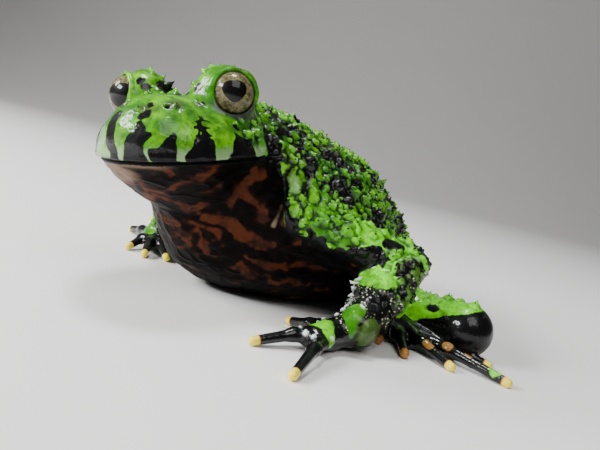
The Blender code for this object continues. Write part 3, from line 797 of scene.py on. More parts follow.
SHEEN_BUMP_ROWS = (     # rows of bumps on the front of the left forearm and on the hand that carry a painted sheen: places, bumps
    (((0.9, 15.2, 5.7), (1.6, 15.6, 5.0), (2.4, 16.1, 4.4), (3.3, 16.5, 3.9)), 4),
    (((3.8, 16.6, 3.6), (4.5, 16.7, 3.2), (5.6, 16.4, 2.6), (6.6, 15.9, 2.2)), 4),
    (((7.8, 15.6, 1.9), (8.6, 16.0, 1.7), (9.0, 17.0, 1.6)), 2),
    (((8.9, 17.8, 1.6), (8.2, 18.2, 1.5), (7.2, 18.3, 1.5)), 2),
)
SHEEN_BUMP = (0.31, 0.17)   # half the width of a row and its height
BEAD_UNEVENNESS = 0.22      # how far along a row a bead strays, in beads


def sheen_bumps(points):
    """1 on the bumps that carry a painted sheen and 0 off them: uneven beads along each row, some of them
    left out.
    """
    noise = Noise(71)
    result = np.zeros(len(points))
    for line, beads in SHEEN_BUMP_ROWS:
        gap, share = line_distance(points, line)
        near = 1.0 - rise(gap, 0.4 * SHEEN_BUMP[0], SHEEN_BUMP[0])
        wave = np.cos(2 * math.pi * (beads * share + BEAD_UNEVENNESS * noise.at(points, 1.1)))
        result = np.maximum(result, near * rise(wave, -0.6, 0.2))
    return result * rise(noise.at(points, 0.75) + 0.6 * noise.at(points + 9.0, 0.4), -0.6, -0.2)


def wart_room(skin):
    """Where warts grow, from 0 to 1: all over the upper side, and few on the face, hands and legs."""
    upward = rise(skin.normals[:, 2], *WART_SLOPE)
    room = upward * (1.0 - rise(belly_field(skin), -1.0, 0.4))
    on_head_part = skin.near_part("head", 0.5)
    forward, aside, height = skin.head.T
    shift, low_shift = FAR_FACE_SHIFT
    far = (aside < FAR_CHEEK[0]) * (shift + low_shift * (height < FAR_CHEEK[1]))
    face = rise(forward + far, *FACE_START) * on_head_part
    room *= 1.0 - np.where(aside < 0.0, 1.0, FACE_CLEARED) * face
    room *= 1.0 - HEAD_CLEARED * on_head_part * (1.0 - face)
    leg_share, leg_slope = LEG_WARTS
    leg_room = leg_share * rise(skin.normals[:, 2], *leg_slope)
    for side in SIDES:
        for part in ("hand_", "foot_"):
            room *= 1.0 - skin.near_part(part + side, 0.6)
        for part in ("thigh_", "shank_"):
            room *= 1.0 - skin.near_part(part + side, 1.4) * (1.0 - leg_room)
        room *= WRIST_WARTS + (1.0 - WRIST_WARTS) * rise(skin.from_wrist(side), *WRIST_REACH)
    for side in SIDES.values():
        room *= rise(distance_from(eye_centre(side), skin.points) - EYE_RADIUS, *LID_MARGIN)
    for patch, cleared in ((SMOOTH_ARM, 0.8), (SMOOTH_FOREARM, 0.9)):
        room *= 1.0 - cleared * rise(ellipsoid_field(skin.rest, *patch), -0.3, 0.3)
    return room


def scattered(skin, room, kind):
    """Points chosen at random, no two closer than their sizes allow: (index, radius) pairs."""
    chance = np.random.default_rng(kind.seed)
    order = chance.permutation(len(skin.points))
    order = order[chance.random(len(order)) < room[order]]
    size = 2 * kind.radii[1]
    taken = {}
    chosen = []
    for index in order[:TRIES * kind.count]:
        if len(chosen) == kind.count:
            break
        radius = chance.uniform(*kind.radii)
        place = skin.points[index]
        cell = np.floor(place / size).astype(int)
        near = [wart for step in NEIGHBOURS for wart in taken.get(tuple(cell + step), ())]
        if all(np.linalg.norm(place - other) >= kind.spacing * (radius + other_radius)
               for other, other_radius in near):
            taken.setdefault(tuple(cell), []).append((place, radius))
            chosen.append((index, radius))
    return chosen


def point_tree(points):
    """A tree that finds the points near a place."""
    tree = KDTree(len(points))
    for index, place in enumerate(points):
        tree.insert(place, index)
    tree.balance()
    return tree


def stretched_distance(offset, side, stretch):
    """How long offsets are, once what lies along one direction is stretched."""
    along = offset @ side
    return np.sqrt(np.maximum((offset ** 2).sum(axis=1) + along ** 2 * (stretch ** 2 - 1), 0.0))


def raise_warts(skin):
    """Raise the warts and return how much of a wart, and of its hard point, each place has."""
    room = wart_room(skin)
    tree = point_tree(skin.points)
    wart = np.zeros(len(skin.points))
    point = np.zeros(len(skin.points))
    offset = np.zeros_like(skin.points)
    start = skin.points.copy()
    bent = bent_places(start, 61, WART_BEND[1], WART_BEND[0], 2)
    for kind in WART_KINDS:
        chance = np.random.default_rng(kind.seed + 100)
        for index, radius in scattered(skin, room, kind):
            axis = skin.normals[index]
            height = chance.uniform(*kind.heights)
            stretch = chance.uniform(*WART_STRETCH)
            side = np.cross(axis, chance.normal(size=3))
            side /= np.linalg.norm(side)
            has_point = kind.tip and chance.random() < TIP_SHARE
            found = tree.find_range(start[index], radius * 1.5)
            near = np.array([item[1] for item in found])
            gap = stretched_distance(bent[near] - bent[index], side, stretch)
            share = np.clip(1.0 - (gap / radius) ** 2, 0.0, 1.0)
            lift = height * share
            if has_point:
                spike = np.clip(1.0 - gap / TIP_RADIUS, 0.0, 1.0)
                lift = lift + kind.tip * spike
                point[near] = np.maximum(point[near], spike)
            offset[near] += axis * lift[:, None]
            wart[near] = np.maximum(wart[near], share * min(1.0, radius / WHOLE_WART))
    grain = Noise(62).rough(start, WART_GRAIN[1], 2)
    offset += skin.normals * (WART_GRAIN[0] * room * grain)[:, None]
    offset += skin.normals * (SHEEN_BUMP[1] * sheen_bumps(skin.rest))[:, None]
    skin.points = skin.points + offset
    return wart, point


RELIEF_ROUNDS = 24          # how widely the skin is evened out to tell warts from the gaps between them


def relief_of(skin, base_normals):
    """How far each place stands out above, or lies under, the skin round it, in millimetres."""
    height = ((skin.points - skin.rest) * base_normals).sum(axis=1)[:, None]
    return (height - smoothed(height, skin.quads, RELIEF_ROUNDS))[:, 0]


# ---------------------------------------------------------------- markings

BELLY_BORDER = (    # x along the flank and throat, and how high the underside reaches there
    (-2.0, 5.2), (1.0, 6.9), (3.2, 7.6), (5.1, 7.8), (6.0, 8.5), (6.4, 10.0), (6.6, 11.2), (7.0, 12.4),
    (7.4, 13.4), (8.0, 13.8),
)
PART_EDGE = 0.8             # over what distance one part's border turns into the next part's
LIMB_BORDER = 0.9           # how far under a limb's middle line its underside begins
LIMB_SPANS = {      # the two joints of a limb part, and the direction of its upper side on the left
    "upper_arm": ("shoulder", "elbow", (-0.25, 0.25, 0.93)), "forearm": ("elbow", "wrist", (0.1, 0.7, 0.7)),
    "hand": ("wrist", "palm", (0.0, 0.0, 1.0)), "thigh": ("hip", "knee", (-0.1, 0.0, 1.0)),
    "shank": ("knee", "ankle", (0.2, 0.0, 0.98)), "foot": ("ankle", "sole", (0.0, 0.0, 1.0)),
}


def limb_bones():
    """The ends of each limb part's middle line, and the direction that is its upper side."""
    made = {}
    for side, sign in SIDES.items():
        joints = {**ARMS[side], **leg_joints(side)}
        for part, (start, end, upper) in LIMB_SPANS.items():
            made[part + "_" + side] = (np.array(joints[start]), np.array(joints[end]),
                                       np.array(upper) * (1, sign, 1))
    return made


LIMB_BONES = limb_bones()


def belly_field(skin):
    """How far inside the ventral side a place is, in millimetres; negative on the upper side."""
    x, y, z = skin.rest.T
    field = np.interp(x, *zip(*BELLY_BORDER)) - z
    on_head_part = skin.near_part("head", PART_EDGE)
    field = field * (1.0 - on_head_part) - mouth_height(skin) * on_head_part
    for name, (start, end, upper) in LIMB_BONES.items():
        weight = skin.near_part(name, PART_EDGE)
        run = end - start
        along = np.clip((skin.rest - start) @ run / (run @ run), 0.0, 1.0)
        middle = start + along[:, None] * run
        field = field * (1.0 - weight) + ((middle - skin.rest) @ upper - LIMB_BORDER) * weight
    return field


LIP_CIRCLE = 10.0           # radius of the circle on which places along the lip are measured
LIP_BARS = (                # along the lip, half width there, half width on top, height, lean of the top
    (-16.2, 0.9, 0.5, 2.4, 0.0), (-13.2, 0.9, 0.4, 2.6, 0.3), (-8.9, 1.2, 0.5, 2.2, -0.2),
    (-5.2, 0.9, 0.5, 3.2, 0.2), (-1.6, 0.75, 0.40, 4.2, -0.4), (0.35, 0.85, 0.6, 2.9, 0.15),
    (2.15, 0.85, 0.35, 2.7, 0.55), (5.1, 1.30, 0.55, 3.9, 0.1), (9.4, 2.0, 1.1, 2.1, 0.1),
    (14.9, 1.15, 0.65, 2.6, 0.0), (18.6, 1.0, 0.5, 2.5, 0.0),
)
NETTED_BARS = (3.5, 4.0, 6.6, 7.1)  # places along the lip between which a bar's top breaks into a net
NET_SIZE = 0.42             # of the net's meshes
NET_HEIGHTS = (1.7, 2.4)    # over the mouth, where the net sets in
NET_DEPTH = 1.6             # how far its meshes cut into a bar
LIP_BAND = (0.22, 1.4, 1.6)  # height of the band that joins the bars, its unevenness and over what length
BAR_CURVE = 1.3             # how the sides of a bar curve in
BAR_STRAY = (0.42, 1.2)     # how far a bar's edges stray, and over what length
CROWN_STRAY = (0.5, 0.8)    # the same for its top
CORNER_ROUND = (0.3, 0.6)   # how much, and how near its corners, a bar is rounded


def lip_place(skin):
    """Place along the lip, measured round a circle, in millimetres."""
    return LIP_CIRCLE * np.arctan2(skin.head[:, 1], skin.head[:, 0] - MOUTH_MIDDLE[0])


def lip_bars(skin):
    """The black bars that run up from the upper lip."""
    height = mouth_height(skin)
    wave = Noise(31)
    place = lip_place(skin) + BAR_STRAY[0] * wave.rough(skin.rest, BAR_STRAY[1], 2)
    netted = plateau(place, *NETTED_BARS)
    holes = np.abs(wave.at(skin.rest + 3.0, NET_SIZE)) * rise(height, *NET_HEIGHTS) * netted
    field = np.full(len(place), -FAR)
    for middle, foot, top, reach, lean in LIP_BARS:
        share = np.clip(height / reach, 0.0, 1.0)
        half = foot + (top - foot) * share ** BAR_CURVE
        side = half - np.abs(place - middle - lean * share)
        crown = reach - height + CROWN_STRAY[0] * wave.at(skin.rest, CROWN_STRAY[1])
        corner = CORNER_ROUND[0] * np.maximum(CORNER_ROUND[1] - np.abs(side - crown), 0.0)
        field = np.maximum(field, np.minimum(side, crown) - corner - NET_DEPTH * holes)
    band_height, share, size = LIP_BAND
    band = band_height * (1.0 + share * wave.at(skin.rest, size)) - height
    field = np.maximum(field, np.where(skin.head[:, 0] > MOUTH_CORNER[1], band, -FAR))
    on_lips = (skin.distance_to["head"] < CHEEK_WIDTH) & (skin.head[:, 0] > MOUTH_CORNER[0] - 1.6)
    return np.where(on_lips & (height > -0.35), field, -FAR)


SPOTS = (       # black blotches of the trunk: centre and radii
    ((3.9, 8.8, 14.2), (0.6, 1.1, 1.3)), ((0.9, 9.9, 13.3), (1.2, 1.2, 0.8)),
    ((-10.5, 8.5, 12.3), (2.2, 1.4, 0.9)), ((-5.7, 11.0, 11.3), (1.4, 1.1, 0.7)),
    ((-1.9, 16.2, 9.2), (1.5, 0.9, 0.6)), ((2.0, 13.4, 7.5), (1.6, 1.4, 0.6)),
    ((0.2, 15.5, 8.3), (1.6, 1.3, 0.40)), ((-2.0, 9.6, 14.0), (0.9, 1.0, 0.5)),
    ((-14.6, 8.4, 9.8), (1.5, 1.5, 1.4)), ((5.3, -9.0, 12.6), (1.2, 1.0, 1.8)),
)
HEAD_SPOTS = (  # the same in the head's own directions
    ((5.5, -4.4, 3.9), (0.5, 0.4, 0.6)), ((4.9, -3.4, 4.8), (0.5, 0.45, 0.4)),
    ((5.0, -2.9, 4.2), (0.45, 0.4, 0.4)), ((3.6, -2.2, 4.4), (0.9, 0.45, 0.9)),
    ((5.7, 2.5, 4.1), (0.5, 0.5, 0.75)), ((6.6, 3.2, 2.9), (0.4, 0.3, 0.3)),
    ((2.3, 6.4, 1.8), (0.55, 0.5, 0.4)), ((5.8, 6.0, 1.0), (0.3, 0.3, 0.3)),
    ((11.2, 0.8, 1.9), (0.8, 0.6, 0.35)), ((10.5, 0.6, 2.7), (0.5, 0.35, 0.3)),
    ((1.2, 6.9, 1.2), (0.5, 0.5, 0.5)), ((2.2, -1.9, 3.8), (1.4, 0.7, 0.9)),
    ((2.6, -0.5, 3.6), (1.0, 1.0, 0.9)), ((4.6, 1.0, 3.4), (0.9, 0.5, 0.7)),
)
GREEN_PATCHES = (   # on the dark limbs: part, share of the way along it, offset on the left, radii
    ("forearm", 0.55, (1.05, -0.6, 2.2), (1.3, 2.4, 1.35)),
    ("forearm", 0.10, (1.2, 2.0, 0.3), (2.9, 2.2, 2.7)),
    ("forearm", 0.35, (0.4, 2.4, 0.1), (1.9, 1.6, 2.1)),
    ("forearm", 0.97, (1.5, 0.2, 1.3), (0.95, 1.15, 1.45)),
    ("forearm", 0.97, (0.7, 1.75, -0.4), (1.4, 0.9, 1.5)),
    ("hand", 0.2, (1.2, 0.5, 0.5), (0.5, 0.9, 1.2)),
    ("hand", 1.0, (1.3, -0.1, 0.8), (0.95, 1.35, 1.6)),
    ("hand", 1.0, (1.7, 1.0, 0.3), (0.75, 0.95, 0.9)),
    ("foot", 1.0, (-0.6, 10.9, 0.0), (0.8, 0.8, 0.9)),
)
# lower border of the green on thigh and shank: z, slope outwards, distance from the middle at that z
LEG_GREEN = (2.3, 0.52, 17.4)
DARK_LIMBS = (("forearm", "hand"), ("thigh", "shank"), ("foot",))   # parts that share their patches
LEG_SPOT = ((-7.2, 19.1, 3.9), (0.75, 0.7, 0.45))   # dark spot in the green of the left hind leg
LIMB_BLACK = 1.5            # how far inside the black the limbs' ground counts


def dark_limbs(skin, bent):
    """The limbs' black ground, less their green patches; far below 0 on the trunk and head."""
    field = np.full(len(bent), -FAR)
    lowest, slope, reach = LEG_GREEN
    leg_edge = lowest + slope * (np.abs(bent[:, 1] - MIDLINE) - reach)
    for side, sign in SIDES.items():
        for parts in DARK_LIMBS:
            inside = np.any([skin.is_part[part + "_" + side] for part in parts], axis=0)
            own = np.full(len(bent), LIMB_BLACK)
            for part, share, offset, radii in GREEN_PATCHES:
                if part in parts:
                    start, end = LIMB_BONES[part + "_" + side][:2]
                    centre = start + share * (end - start) + np.array(offset) * (1, sign, 1)
                    own = np.minimum(own, -ellipsoid_field(bent, centre, radii))
            if "shank" in parts:
                own = np.minimum(own, leg_edge - bent[:, 2])
            field = np.where(inside, own, field)
    return np.where(field > -FAR, np.maximum(field, ellipsoid_field(bent, *LEG_SPOT)), field)


OLIVE_LOBES = (     # greyish green places of the left arm, the last two with dark streaks
    ((3.6, 19.6, 2.0), (1.5, 1.5, 2.0)), ((-2.0, 18.8, 6.9), (1.9, 1.6, 2.3)),
    ((0.2, 19.3, 4.9), (1.3, 1.0, 1.4)),
)
STREAK_SCALE = (2.2, 2.2, 0.7)  # how fine the streaks are along x, y and z, per millimetre
BLOTCHES = (2.6, 0.62)      # size of the blotches in the trunk's pattern, and noise above which one shows
GAP_BLACK_AND_SHADE = (2.2, 0.20, 0.9)     # size of the patches where the ground between warts is black (partly its own black, partly painted shade in the hollows), share, contrast
HEAD_GREEN = (-2.0, 2.0)    # x of the head where the ground between its warts turns green
ARM_FILLED = 0.5            # how strongly the upper arms' ground is green
FACE_FILLED = 3.0           # the same for the face
SMOOTH_FILLED = 1.5         # and for the smooth stretch of the arm
MARKINGS_BEND = (41, 1.3, 0.55)     # seed, size and strength of the noise that makes the edges ragged
BORDER_HALF = 0.55          # half the width of the black line along the border of the belly
LIMB_STRAY = 0.25           # share of the markings' raggedness that the limbs' edges have


def trunk_black(skin, bent, wart):
    """Black between the warts, partly its own black ground and partly painted shade in the hollows, generic
    blotches and the listed spots.
    """
    noise = Noise(43)
    on_head_part = skin.near_part("head", 1.0)
    size, least = BLOTCHES
    blotches = (noise.rough(bent, size, 2) - least) * 2.0 - 2.0 * on_head_part
    size, share, contrast = GAP_BLACK_AND_SHADE
    # black in the hollows between warts: partly the skin's own black ground, partly painted shade
    gaps = share + contrast * noise.rough(skin.rest + 5.0, size, 2) - wart
    gaps -= ARM_FILLED * skin.near_any(("upper_arm_",), 1.0)
    gaps -= FACE_FILLED * on_head_part * rise(skin.head[:, 0], *HEAD_GREEN)
    gaps -= SMOOTH_FILLED * rise(ellipsoid_field(bent, *SMOOTH_ARM), -0.3, 0.3)
    on_head_places = in_head((skin.rest + bent) / 2)
    spots = np.maximum(spots_field(bent, SPOTS), spots_field(on_head_places, HEAD_SPOTS))
    return np.max([blotches, 0.5 * gaps, spots], axis=0)


def border_black(skin, bent, belly):
    """An uneven black line along the border of the belly, but not on the head."""
    noise = Noise(43)
    stray = 0.8 * noise.at(skin.rest, 1.1) + 0.8 * noise.at(bent, 0.6)
    line = BORDER_HALF - np.abs(belly + 0.1 + stray)
    return np.where(skin.near_part("head", PART_EDGE) > 0.5, -FAR, line)


def limb_black(skin, bent):
    """The limbs' black, with the dark streaks near the left elbow; far below 0 on the trunk and head."""
    limbs = dark_limbs(skin, skin.rest * (1.0 - LIMB_STRAY) + bent * LIMB_STRAY)
    streaks = 0.5 * Noise(73).rough(skin.rest * STREAK_SCALE, 1.0, 2) - 0.03
    streaks = np.where(soft_spots(skin.rest, OLIVE_LOBES[1:]) > 0.2, streaks, -FAR)
    return np.where(limbs > -FAR, np.maximum(limbs, streaks), limbs)


def black_field(skin, belly, wart):
    """How far inside the black of the upper side a place is, in millimetres: its markings, and the black
    between warts that is partly painted shade.
    """
    bent = bent_places(skin.rest, *MARKINGS_BEND)
    field = trunk_black(skin, bent, wart) - 3.0 * rise(belly, 0.1, 0.7)
    field = np.maximum(field, border_black(skin, bent, belly))
    limbs = limb_black(skin, bent)
    field = np.where(limbs > -FAR, limbs, field)
    return np.maximum(field, lip_bars(skin))


ORANGE_BANDS = (    # on the left of the throat and flank: half width, then places along the band
    (0.42, ((16.9, 6.4, 10.5), (15.8, 7.4, 11.1), (15.1, 8.5, 12.5), (16.4, 8.6, 12.9))),
    (0.40, ((19.5, 6.4, 11.5), (18.1, 7.2, 11.5))),
    (0.50, ((18.1, 4.7, 9.9), (16.0, 5.0, 9.4), (14.1, 4.6, 8.6))),
    (0.62, ((9.3, 8.1, 13.0), (10.5, 7.9, 12.0), (10.8, 6.9, 10.1))),
    (0.48, ((9.8, 7.6, 10.8), (8.7, 8.2, 10.4), (8.3, 8.3, 8.9))),
    (0.45, ((13.7, 5.1, 8.8), (12.4, 5.7, 9.1))),
    (0.50, ((12.7, 4.1, 7.4), (11.5, 5.0, 7.0), (10.4, 5.5, 6.3))),
    (0.62, ((11.8, 5.5, 8.3), (10.1, 6.7, 8.1), (9.0, 7.3, 7.3), (7.5, 8.1, 6.6))),
    (0.34, ((11.6, 4.1, 6.2), (9.8, 4.5, 4.4))),
    (0.32, ((11.6, 2.4, 5.1), (10.3, 3.3, 4.1))),
    (0.30, ((12.8, -1.5, 7.1), (13.1, 1.8, 6.6), (12.0, 2.8, 5.7))),
    (0.42, ((8.1, 6.7, 4.9), (5.9, 8.3, 4.6), (3.4, 10.0, 5.2), (-0.5, 11.0, 5.0))),
    (0.36, ((5.4, 7.8, 3.3), (2.1, 9.5, 3.1), (-2.5, 10.4, 2.8))),
    (0.50, ((7.8, 6.2, 3.9), (6.2, 6.9, 3.0))),
)
BAND_WIDENING = 1.05        # of every band
BAND_UNEVENNESS = (0.45, 1.0)   # of the bands' width, and the length over which it changes
SPOT_SCALE = (0.8, 0.65, 1.5)   # how fine the scattered orange spots are along the head's own directions
PLACED_REACH = (0.6, 2.2)   # how far from the placed bands the scattered spots set in


def belly_marbling(skin):
    """How far outside the orange bands and spots a place of the black underside is."""
    noise = Noise(51)
    bent = bent_places(skin.rest, 51, 1.3, 0.6, step=5.0)
    across = in_head(bent) * (1, -1, 1)
    mirrored = NECK + (across + 0.5 * noise.at(bent, 2.5)[:, None]) @ HEAD_TURN.T
    share, size = BAND_UNEVENNESS
    widening = BAND_WIDENING * (1.0 + share * noise.at(skin.rest + 4.0, size))
    inside = np.max([half_width * widening - line_distance(places, line)[0]
                     for half_width, line in ORANGE_BANDS for places in (bent, mirrored)], axis=0)
    scattered_spots = 1.1 * noise.rough(skin.head * SPOT_SCALE, 1.4, 2) - 0.55
    placed = 1.0 - rise(-inside, *PLACED_REACH)
    return -np.maximum(inside, scattered_spots * (1.0 - placed) - 0.4 * placed)


SHADED_TOES = 2             # the inner ones, whose tips are orange and not yellow, as painted shade
SHADED_TIP = 0.5            # what the attribute of the tips is there, below what makes a tip yellow
TIP_REACH = (0.45, 0.8)     # how far from its end a tip's colour begins to fade, and ends


def digit_tips(skin):
    """1 at the ends of the fingers and toes, and less at the two inner toes, which are darker orange as
    painted shade.
    """
    ends = [(tip, 1.0) for arm in ARMS.values() for tip in arm["tips"]]
    for side in SIDES:
        toes = leg_joints(side)["tips"]
        ends += [(tip, SHADED_TIP) for tip in toes[:SHADED_TOES]]
        ends += [(tip, 1.0) for tip in toes[SHADED_TOES:]]
    result = np.zeros(len(skin.points))
    for (x, y), most in ends:
        away = distance_from((x, y, TIP_HEIGHT), skin.rest)
        result = np.maximum(result, most * (1.0 - rise(away, *TIP_REACH)))
    return result


OLIVE_SPOTS = (     # in the head's own directions
    ((9.2, 2.2, 2.9), (1.3, 0.8, 0.7)), ((10.7, 0.8, 2.5), (1.0, 1.2, 0.5)),
    ((9.2, -2.2, 2.9), (1.2, 0.8, 0.7)), ((7.0, 2.9, 2.6), (0.8, 0.7, 0.6)),
)
OLIVE_CREASES = slice(1, 3)     # the folds whose sides are olive
ORANGE_SPOTS = (    # on the left foot
    ((-3.9, 21.3, 1.3), (0.8, 0.6, 0.5)), ((-5.2, 22.4, 1.6), (0.7, 0.6, 0.5)),
    ((-6.4, 24.5, 1.2), (0.7, 0.6, 0.5)), ((-0.3, 19.6, 0.5), (0.9, 0.8, 0.6)),
)
# patch on the right of the chin, in the head's own directions: painted rim light
CHIN_RIM_LIGHT = ((9.9, -3.3, -2.6), (2.2, 3.4, 1.3))
SPINDLE = ((7.0, 9.2, 10.5), (7.15, 9.2, 9.6), (7.3, 9.1, 8.7))     # pale streak behind the jaw
SPINDLE_EDGE = (0.17, 0.34)  # from its middle line, where it fades out
# a pale swelling, then a painted highlight on the green patch of the left forearm
PALE_SWELLING_AND_HIGHLIGHT = (((6.3, 9.3, 12.6), (1.0, 0.9, 1.1)), ((3.9, 17.0, 3.9), (0.4, 0.4, 0.35)))
PALE_LIP = (-0.2, 0.1, 0.3, 2.0)        # heights over the mouth where it sets in and ends
FAR_EDGE = (-7.0, -5.0, -3.2, -2.2)     # the pale far edge of the snout: places along the lip
LIP_EDGE = (-0.35, 0.22)    # the pale edge of the lower lip: height over the mouth and half width
LIP_EDGE_REACH = (-6.0, -3.0, 1.0, 3.5)  # and its places along the lip
LID_RIM = (2.45, 2.95)      # from the middle of the eye, where the lilac rim under it ends
BRIGHT_PARTS = ("upper_arm_", "forearm_", "hand_", "thigh_", "shank_", "foot_")
DOTTED_WRIST = (2.4, 3.2)   # from the wrist, where the pale dots on the hand end
GLOSSY_PARTS = ("hand_", "foot_", "shank_", "thigh_")
ARM_GREEN = 0.35            # how bright the greens of the upper arms are outside the smooth stretch


def pale_tint(skin):
    """The pale upper lip, the far edge of the snout, a pale swelling and a painted highlight on the green
    patch of the left forearm.
    """
    height = mouth_height(skin)
    far_edge = plateau(lip_place(skin), *FAR_EDGE) * (1.0 - rise(height, 2.0, 3.5))
    pale = skin.near_part("head", 0.5) * np.maximum(plateau(height, *PALE_LIP), far_edge)
    return np.maximum(pale, 0.62 * soft_spots(skin.rest, PALE_SWELLING_AND_HIGHLIGHT))


def olive_tint(skin):
    """Greyish green spots of the snout, sides of two folds and lobes of the left arm."""
    olive = 0.7 * soft_spots(skin.head, OLIVE_SPOTS) * skin.near_part("head", 0.5)
    for fold in FOLDS[OLIVE_CREASES]:
        olive = np.maximum(olive, 0.8 * (1.0 - rise(line_distance(skin.rest, fold[0])[0], 0.2, 0.7)))
    return np.maximum(olive, soft_spots(skin.rest, OLIVE_LOBES))


def lilac_tint(skin):
    """The greyish lilac rim under each eye."""
    lilac = np.zeros(len(skin.rest))
    for side in SIDES.values():
        offset = skin.rest - eye_centre(side)
        reach = np.linalg.norm(offset, axis=1)
        low = rise(-(offset @ HEAD_TURN[:, 2]) / reach, 0.05, 0.5)
        ring = rise(offset @ eye_axis(side) / reach, -0.35, 0.0)
        lilac = np.maximum(lilac, low * ring * (1.0 - rise(reach, *LID_RIM)))
    return 0.85 * lilac


def chin_tint(skin):
    """Painted rim light on the right of the chin, and the pale edge of the lower lip and streak behind the
    jaw.
    """
    height = mouth_height(skin)
    lip_edge = bell(height, *LIP_EDGE) * plateau(lip_place(skin), *LIP_EDGE_REACH)
    patch = soft_spots(skin.head, (CHIN_RIM_LIGHT,)) * rise(-height, 0.1, 0.3)
    chin = np.maximum(0.8 * patch, 0.7 * lip_edge) * skin.near_part("head", 0.5)
    return np.maximum(chin, 0.9 * (1.0 - rise(line_distance(skin.rest, SPINDLE)[0], *SPINDLE_EDGE)))


def limb_tints(skin):
    """Where the limbs have pale dots, are glossy, and have brighter greens than the trunk."""
    dots = []
    bright = []
    smooth = rise(ellipsoid_field(skin.rest, *SMOOTH_ARM), -0.6, 0.3)
    clear_of = {"upper_arm_": np.maximum(ARM_GREEN, smooth)}
    for side in SIDES:
        wrist = skin.from_wrist(side)
        dots.append(skin.near_part("forearm_" + side, 0.3))
        dots.append(skin.near_part("hand_" + side, 0.3) * (1.0 - rise(wrist, *DOTTED_WRIST)))
        clear_of["forearm_"] = clear_of["hand_"] = rise(wrist, *WRIST_REACH)
        bright += [skin.near_part(name + side, 1.2) * clear_of.get(name, 1.0) for name in BRIGHT_PARTS]
    return {"dots": np.max(dots, axis=0), "gloss": 0.85 * skin.near_any(GLOSSY_PARTS, 0.3),
            "bright": np.max(bright, axis=0)}


def local_tints(skin):
    """Places with colours of their own, with painted highlights on the bumps of the left arm and hand and
    on the green patch of the left forearm, and painted rim light on the chin.
    """
    return {
        "pale": pale_tint(skin), "olive": olive_tint(skin), "lilac": lilac_tint(skin),
        "chin": chin_tint(skin), "painted_sheen": sheen_bumps(skin.rest),
        "orange": spots_field(skin.rest, ORANGE_SPOTS), **limb_tints(skin),
    }


def lay_attributes(mesh, values):
    for name, value in values.items():
        layer = mesh.attributes.new(name, "FLOAT", "POINT")
        layer.data.foreach_set("value", value.astype(np.float32))


# ---------------------------------------------------------------- materials

class Nodes:
    """Short forms for building a material's nodes."""

    def __init__(self, name):
        self.material = bpy.data.materials.new(name)
        self.material.use_nodes = True
        self.tree = self.material.node_tree
        self.shader = self.tree.nodes["Principled BSDF"]

    def add(self, kind, **settings):
        node = self.tree.nodes.new(kind)
        for key, value in settings.items():
            setattr(node, key, value)
        return node

    def link(self, source, target):
        self.tree.links.new(source, target)

    def attribute(self, name):
        return self.add("ShaderNodeAttribute", attribute_name=name).outputs["Fac"]

    def texture(self, kind, density, **settings):
        """A texture in the object's own places, with its density given per millimetre."""
        node = self.add(kind)
        node.inputs["Scale"].default_value = density / MM
        for key, value in settings.items():
            node.inputs[key].default_value = value
        self.link(self.add("ShaderNodeTexCoord").outputs["Object"], node.inputs["Vector"])
        return node.outputs

    def noise(self, density, detail=3.0, roughness=0.55):
        return self.texture("ShaderNodeTexNoise", density, Detail=detail, Roughness=roughness)["Fac"]

    def cells(self, density):
        """Distance from the middles of irregular cells."""
        return self.texture("ShaderNodeTexVoronoi", density)["Distance"]

    def math(self, operation, first, second):
        node = self.add("ShaderNodeMath", operation=operation)
        for socket, value in zip(node.inputs, (first, second)):
            if isinstance(value, (int, float)):
                socket.default_value = value
            else:
                self.link(value, socket)
        return node.outputs[0]

    def times(self, first, second):
        return self.math("MULTIPLY", first, second)

    def ragged(self, name, noise, width):
        """An attribute whose level lines a noise makes ragged."""
        stray = self.times(self.math("SUBTRACT", noise, 0.5), width)
        return self.math("ADD", self.attribute(name), stray)

    def between(self, value, start, end, low=0.0, high=1.0):
        """value from start to end, taken smoothly to low to high."""
        node = self.add("ShaderNodeMapRange", interpolation_type="SMOOTHSTEP")
        for key, number in (("From Min", start), ("From Max", end), ("To Min", low), ("To Max", high)):
            node.inputs[key].default_value = number
        self.link(value, node.inputs["Value"])
        return node.outputs["Result"]

    def mix(self, share, first, second):
        """Colour first where share is 0 and second where it is 1."""
        node = self.add("ShaderNodeMix", data_type="RGBA")
        self.link(share, node.inputs["Factor"])
        colours = [socket for socket in node.inputs if socket.type == "RGBA"]
        for socket, value in zip(colours, (first, second)):
            if isinstance(value, tuple):
                socket.default_value = (*value, 1.0)
            else:
                self.link(value, socket)
        return [socket for socket in node.outputs if socket.type == "RGBA"][0]

    def layered(self, colour, *layers):
        """A colour with others laid over it, each with its share from 0 to 1."""
        for share, upper in layers:
            colour = self.mix(share, colour, upper)
        return colour

    def surface(self, colour, **settings):
        """Set the shader's colour, and give the finished material."""
        self.link(colour, self.shader.inputs["Base Color"])
        for name, value in settings.items():
            self.shader.inputs[name.replace("_", " ")].default_value = value
        return self.material


# colours, as linear red, green and blue
LIME = (0.040, 0.25, 0.002)
YELLOW_GREEN = (0.16, 0.54, 0.002)
BRIGHT_GREEN = (0.23, 1.0, 0.001)
FOREST = (0.020, 0.115, 0.008)
# mottling of the skin, and also painted shade in the hollows between warts
DEEP_GREEN_AND_SHADE = (0.012, 0.070, 0.005)
# painted shade in the deepest hollows between warts
CREVICE_SHADE = (0.004, 0.012, 0.004)
# partly the warts' own paler green, partly painted light on their tops
PALE_AND_LIT_WART_GREEN = (0.17, 0.60, 0.012)
# a painted glint on the warts' tops
PAINTED_GLINT = (0.40, 0.80, 0.28)
# pale skin, and a painted highlight on the green patch of the left forearm
MINT_AND_HIGHLIGHT = (0.24, 0.40, 0.17)
BLACK = (0.0025, 0.0025, 0.003)
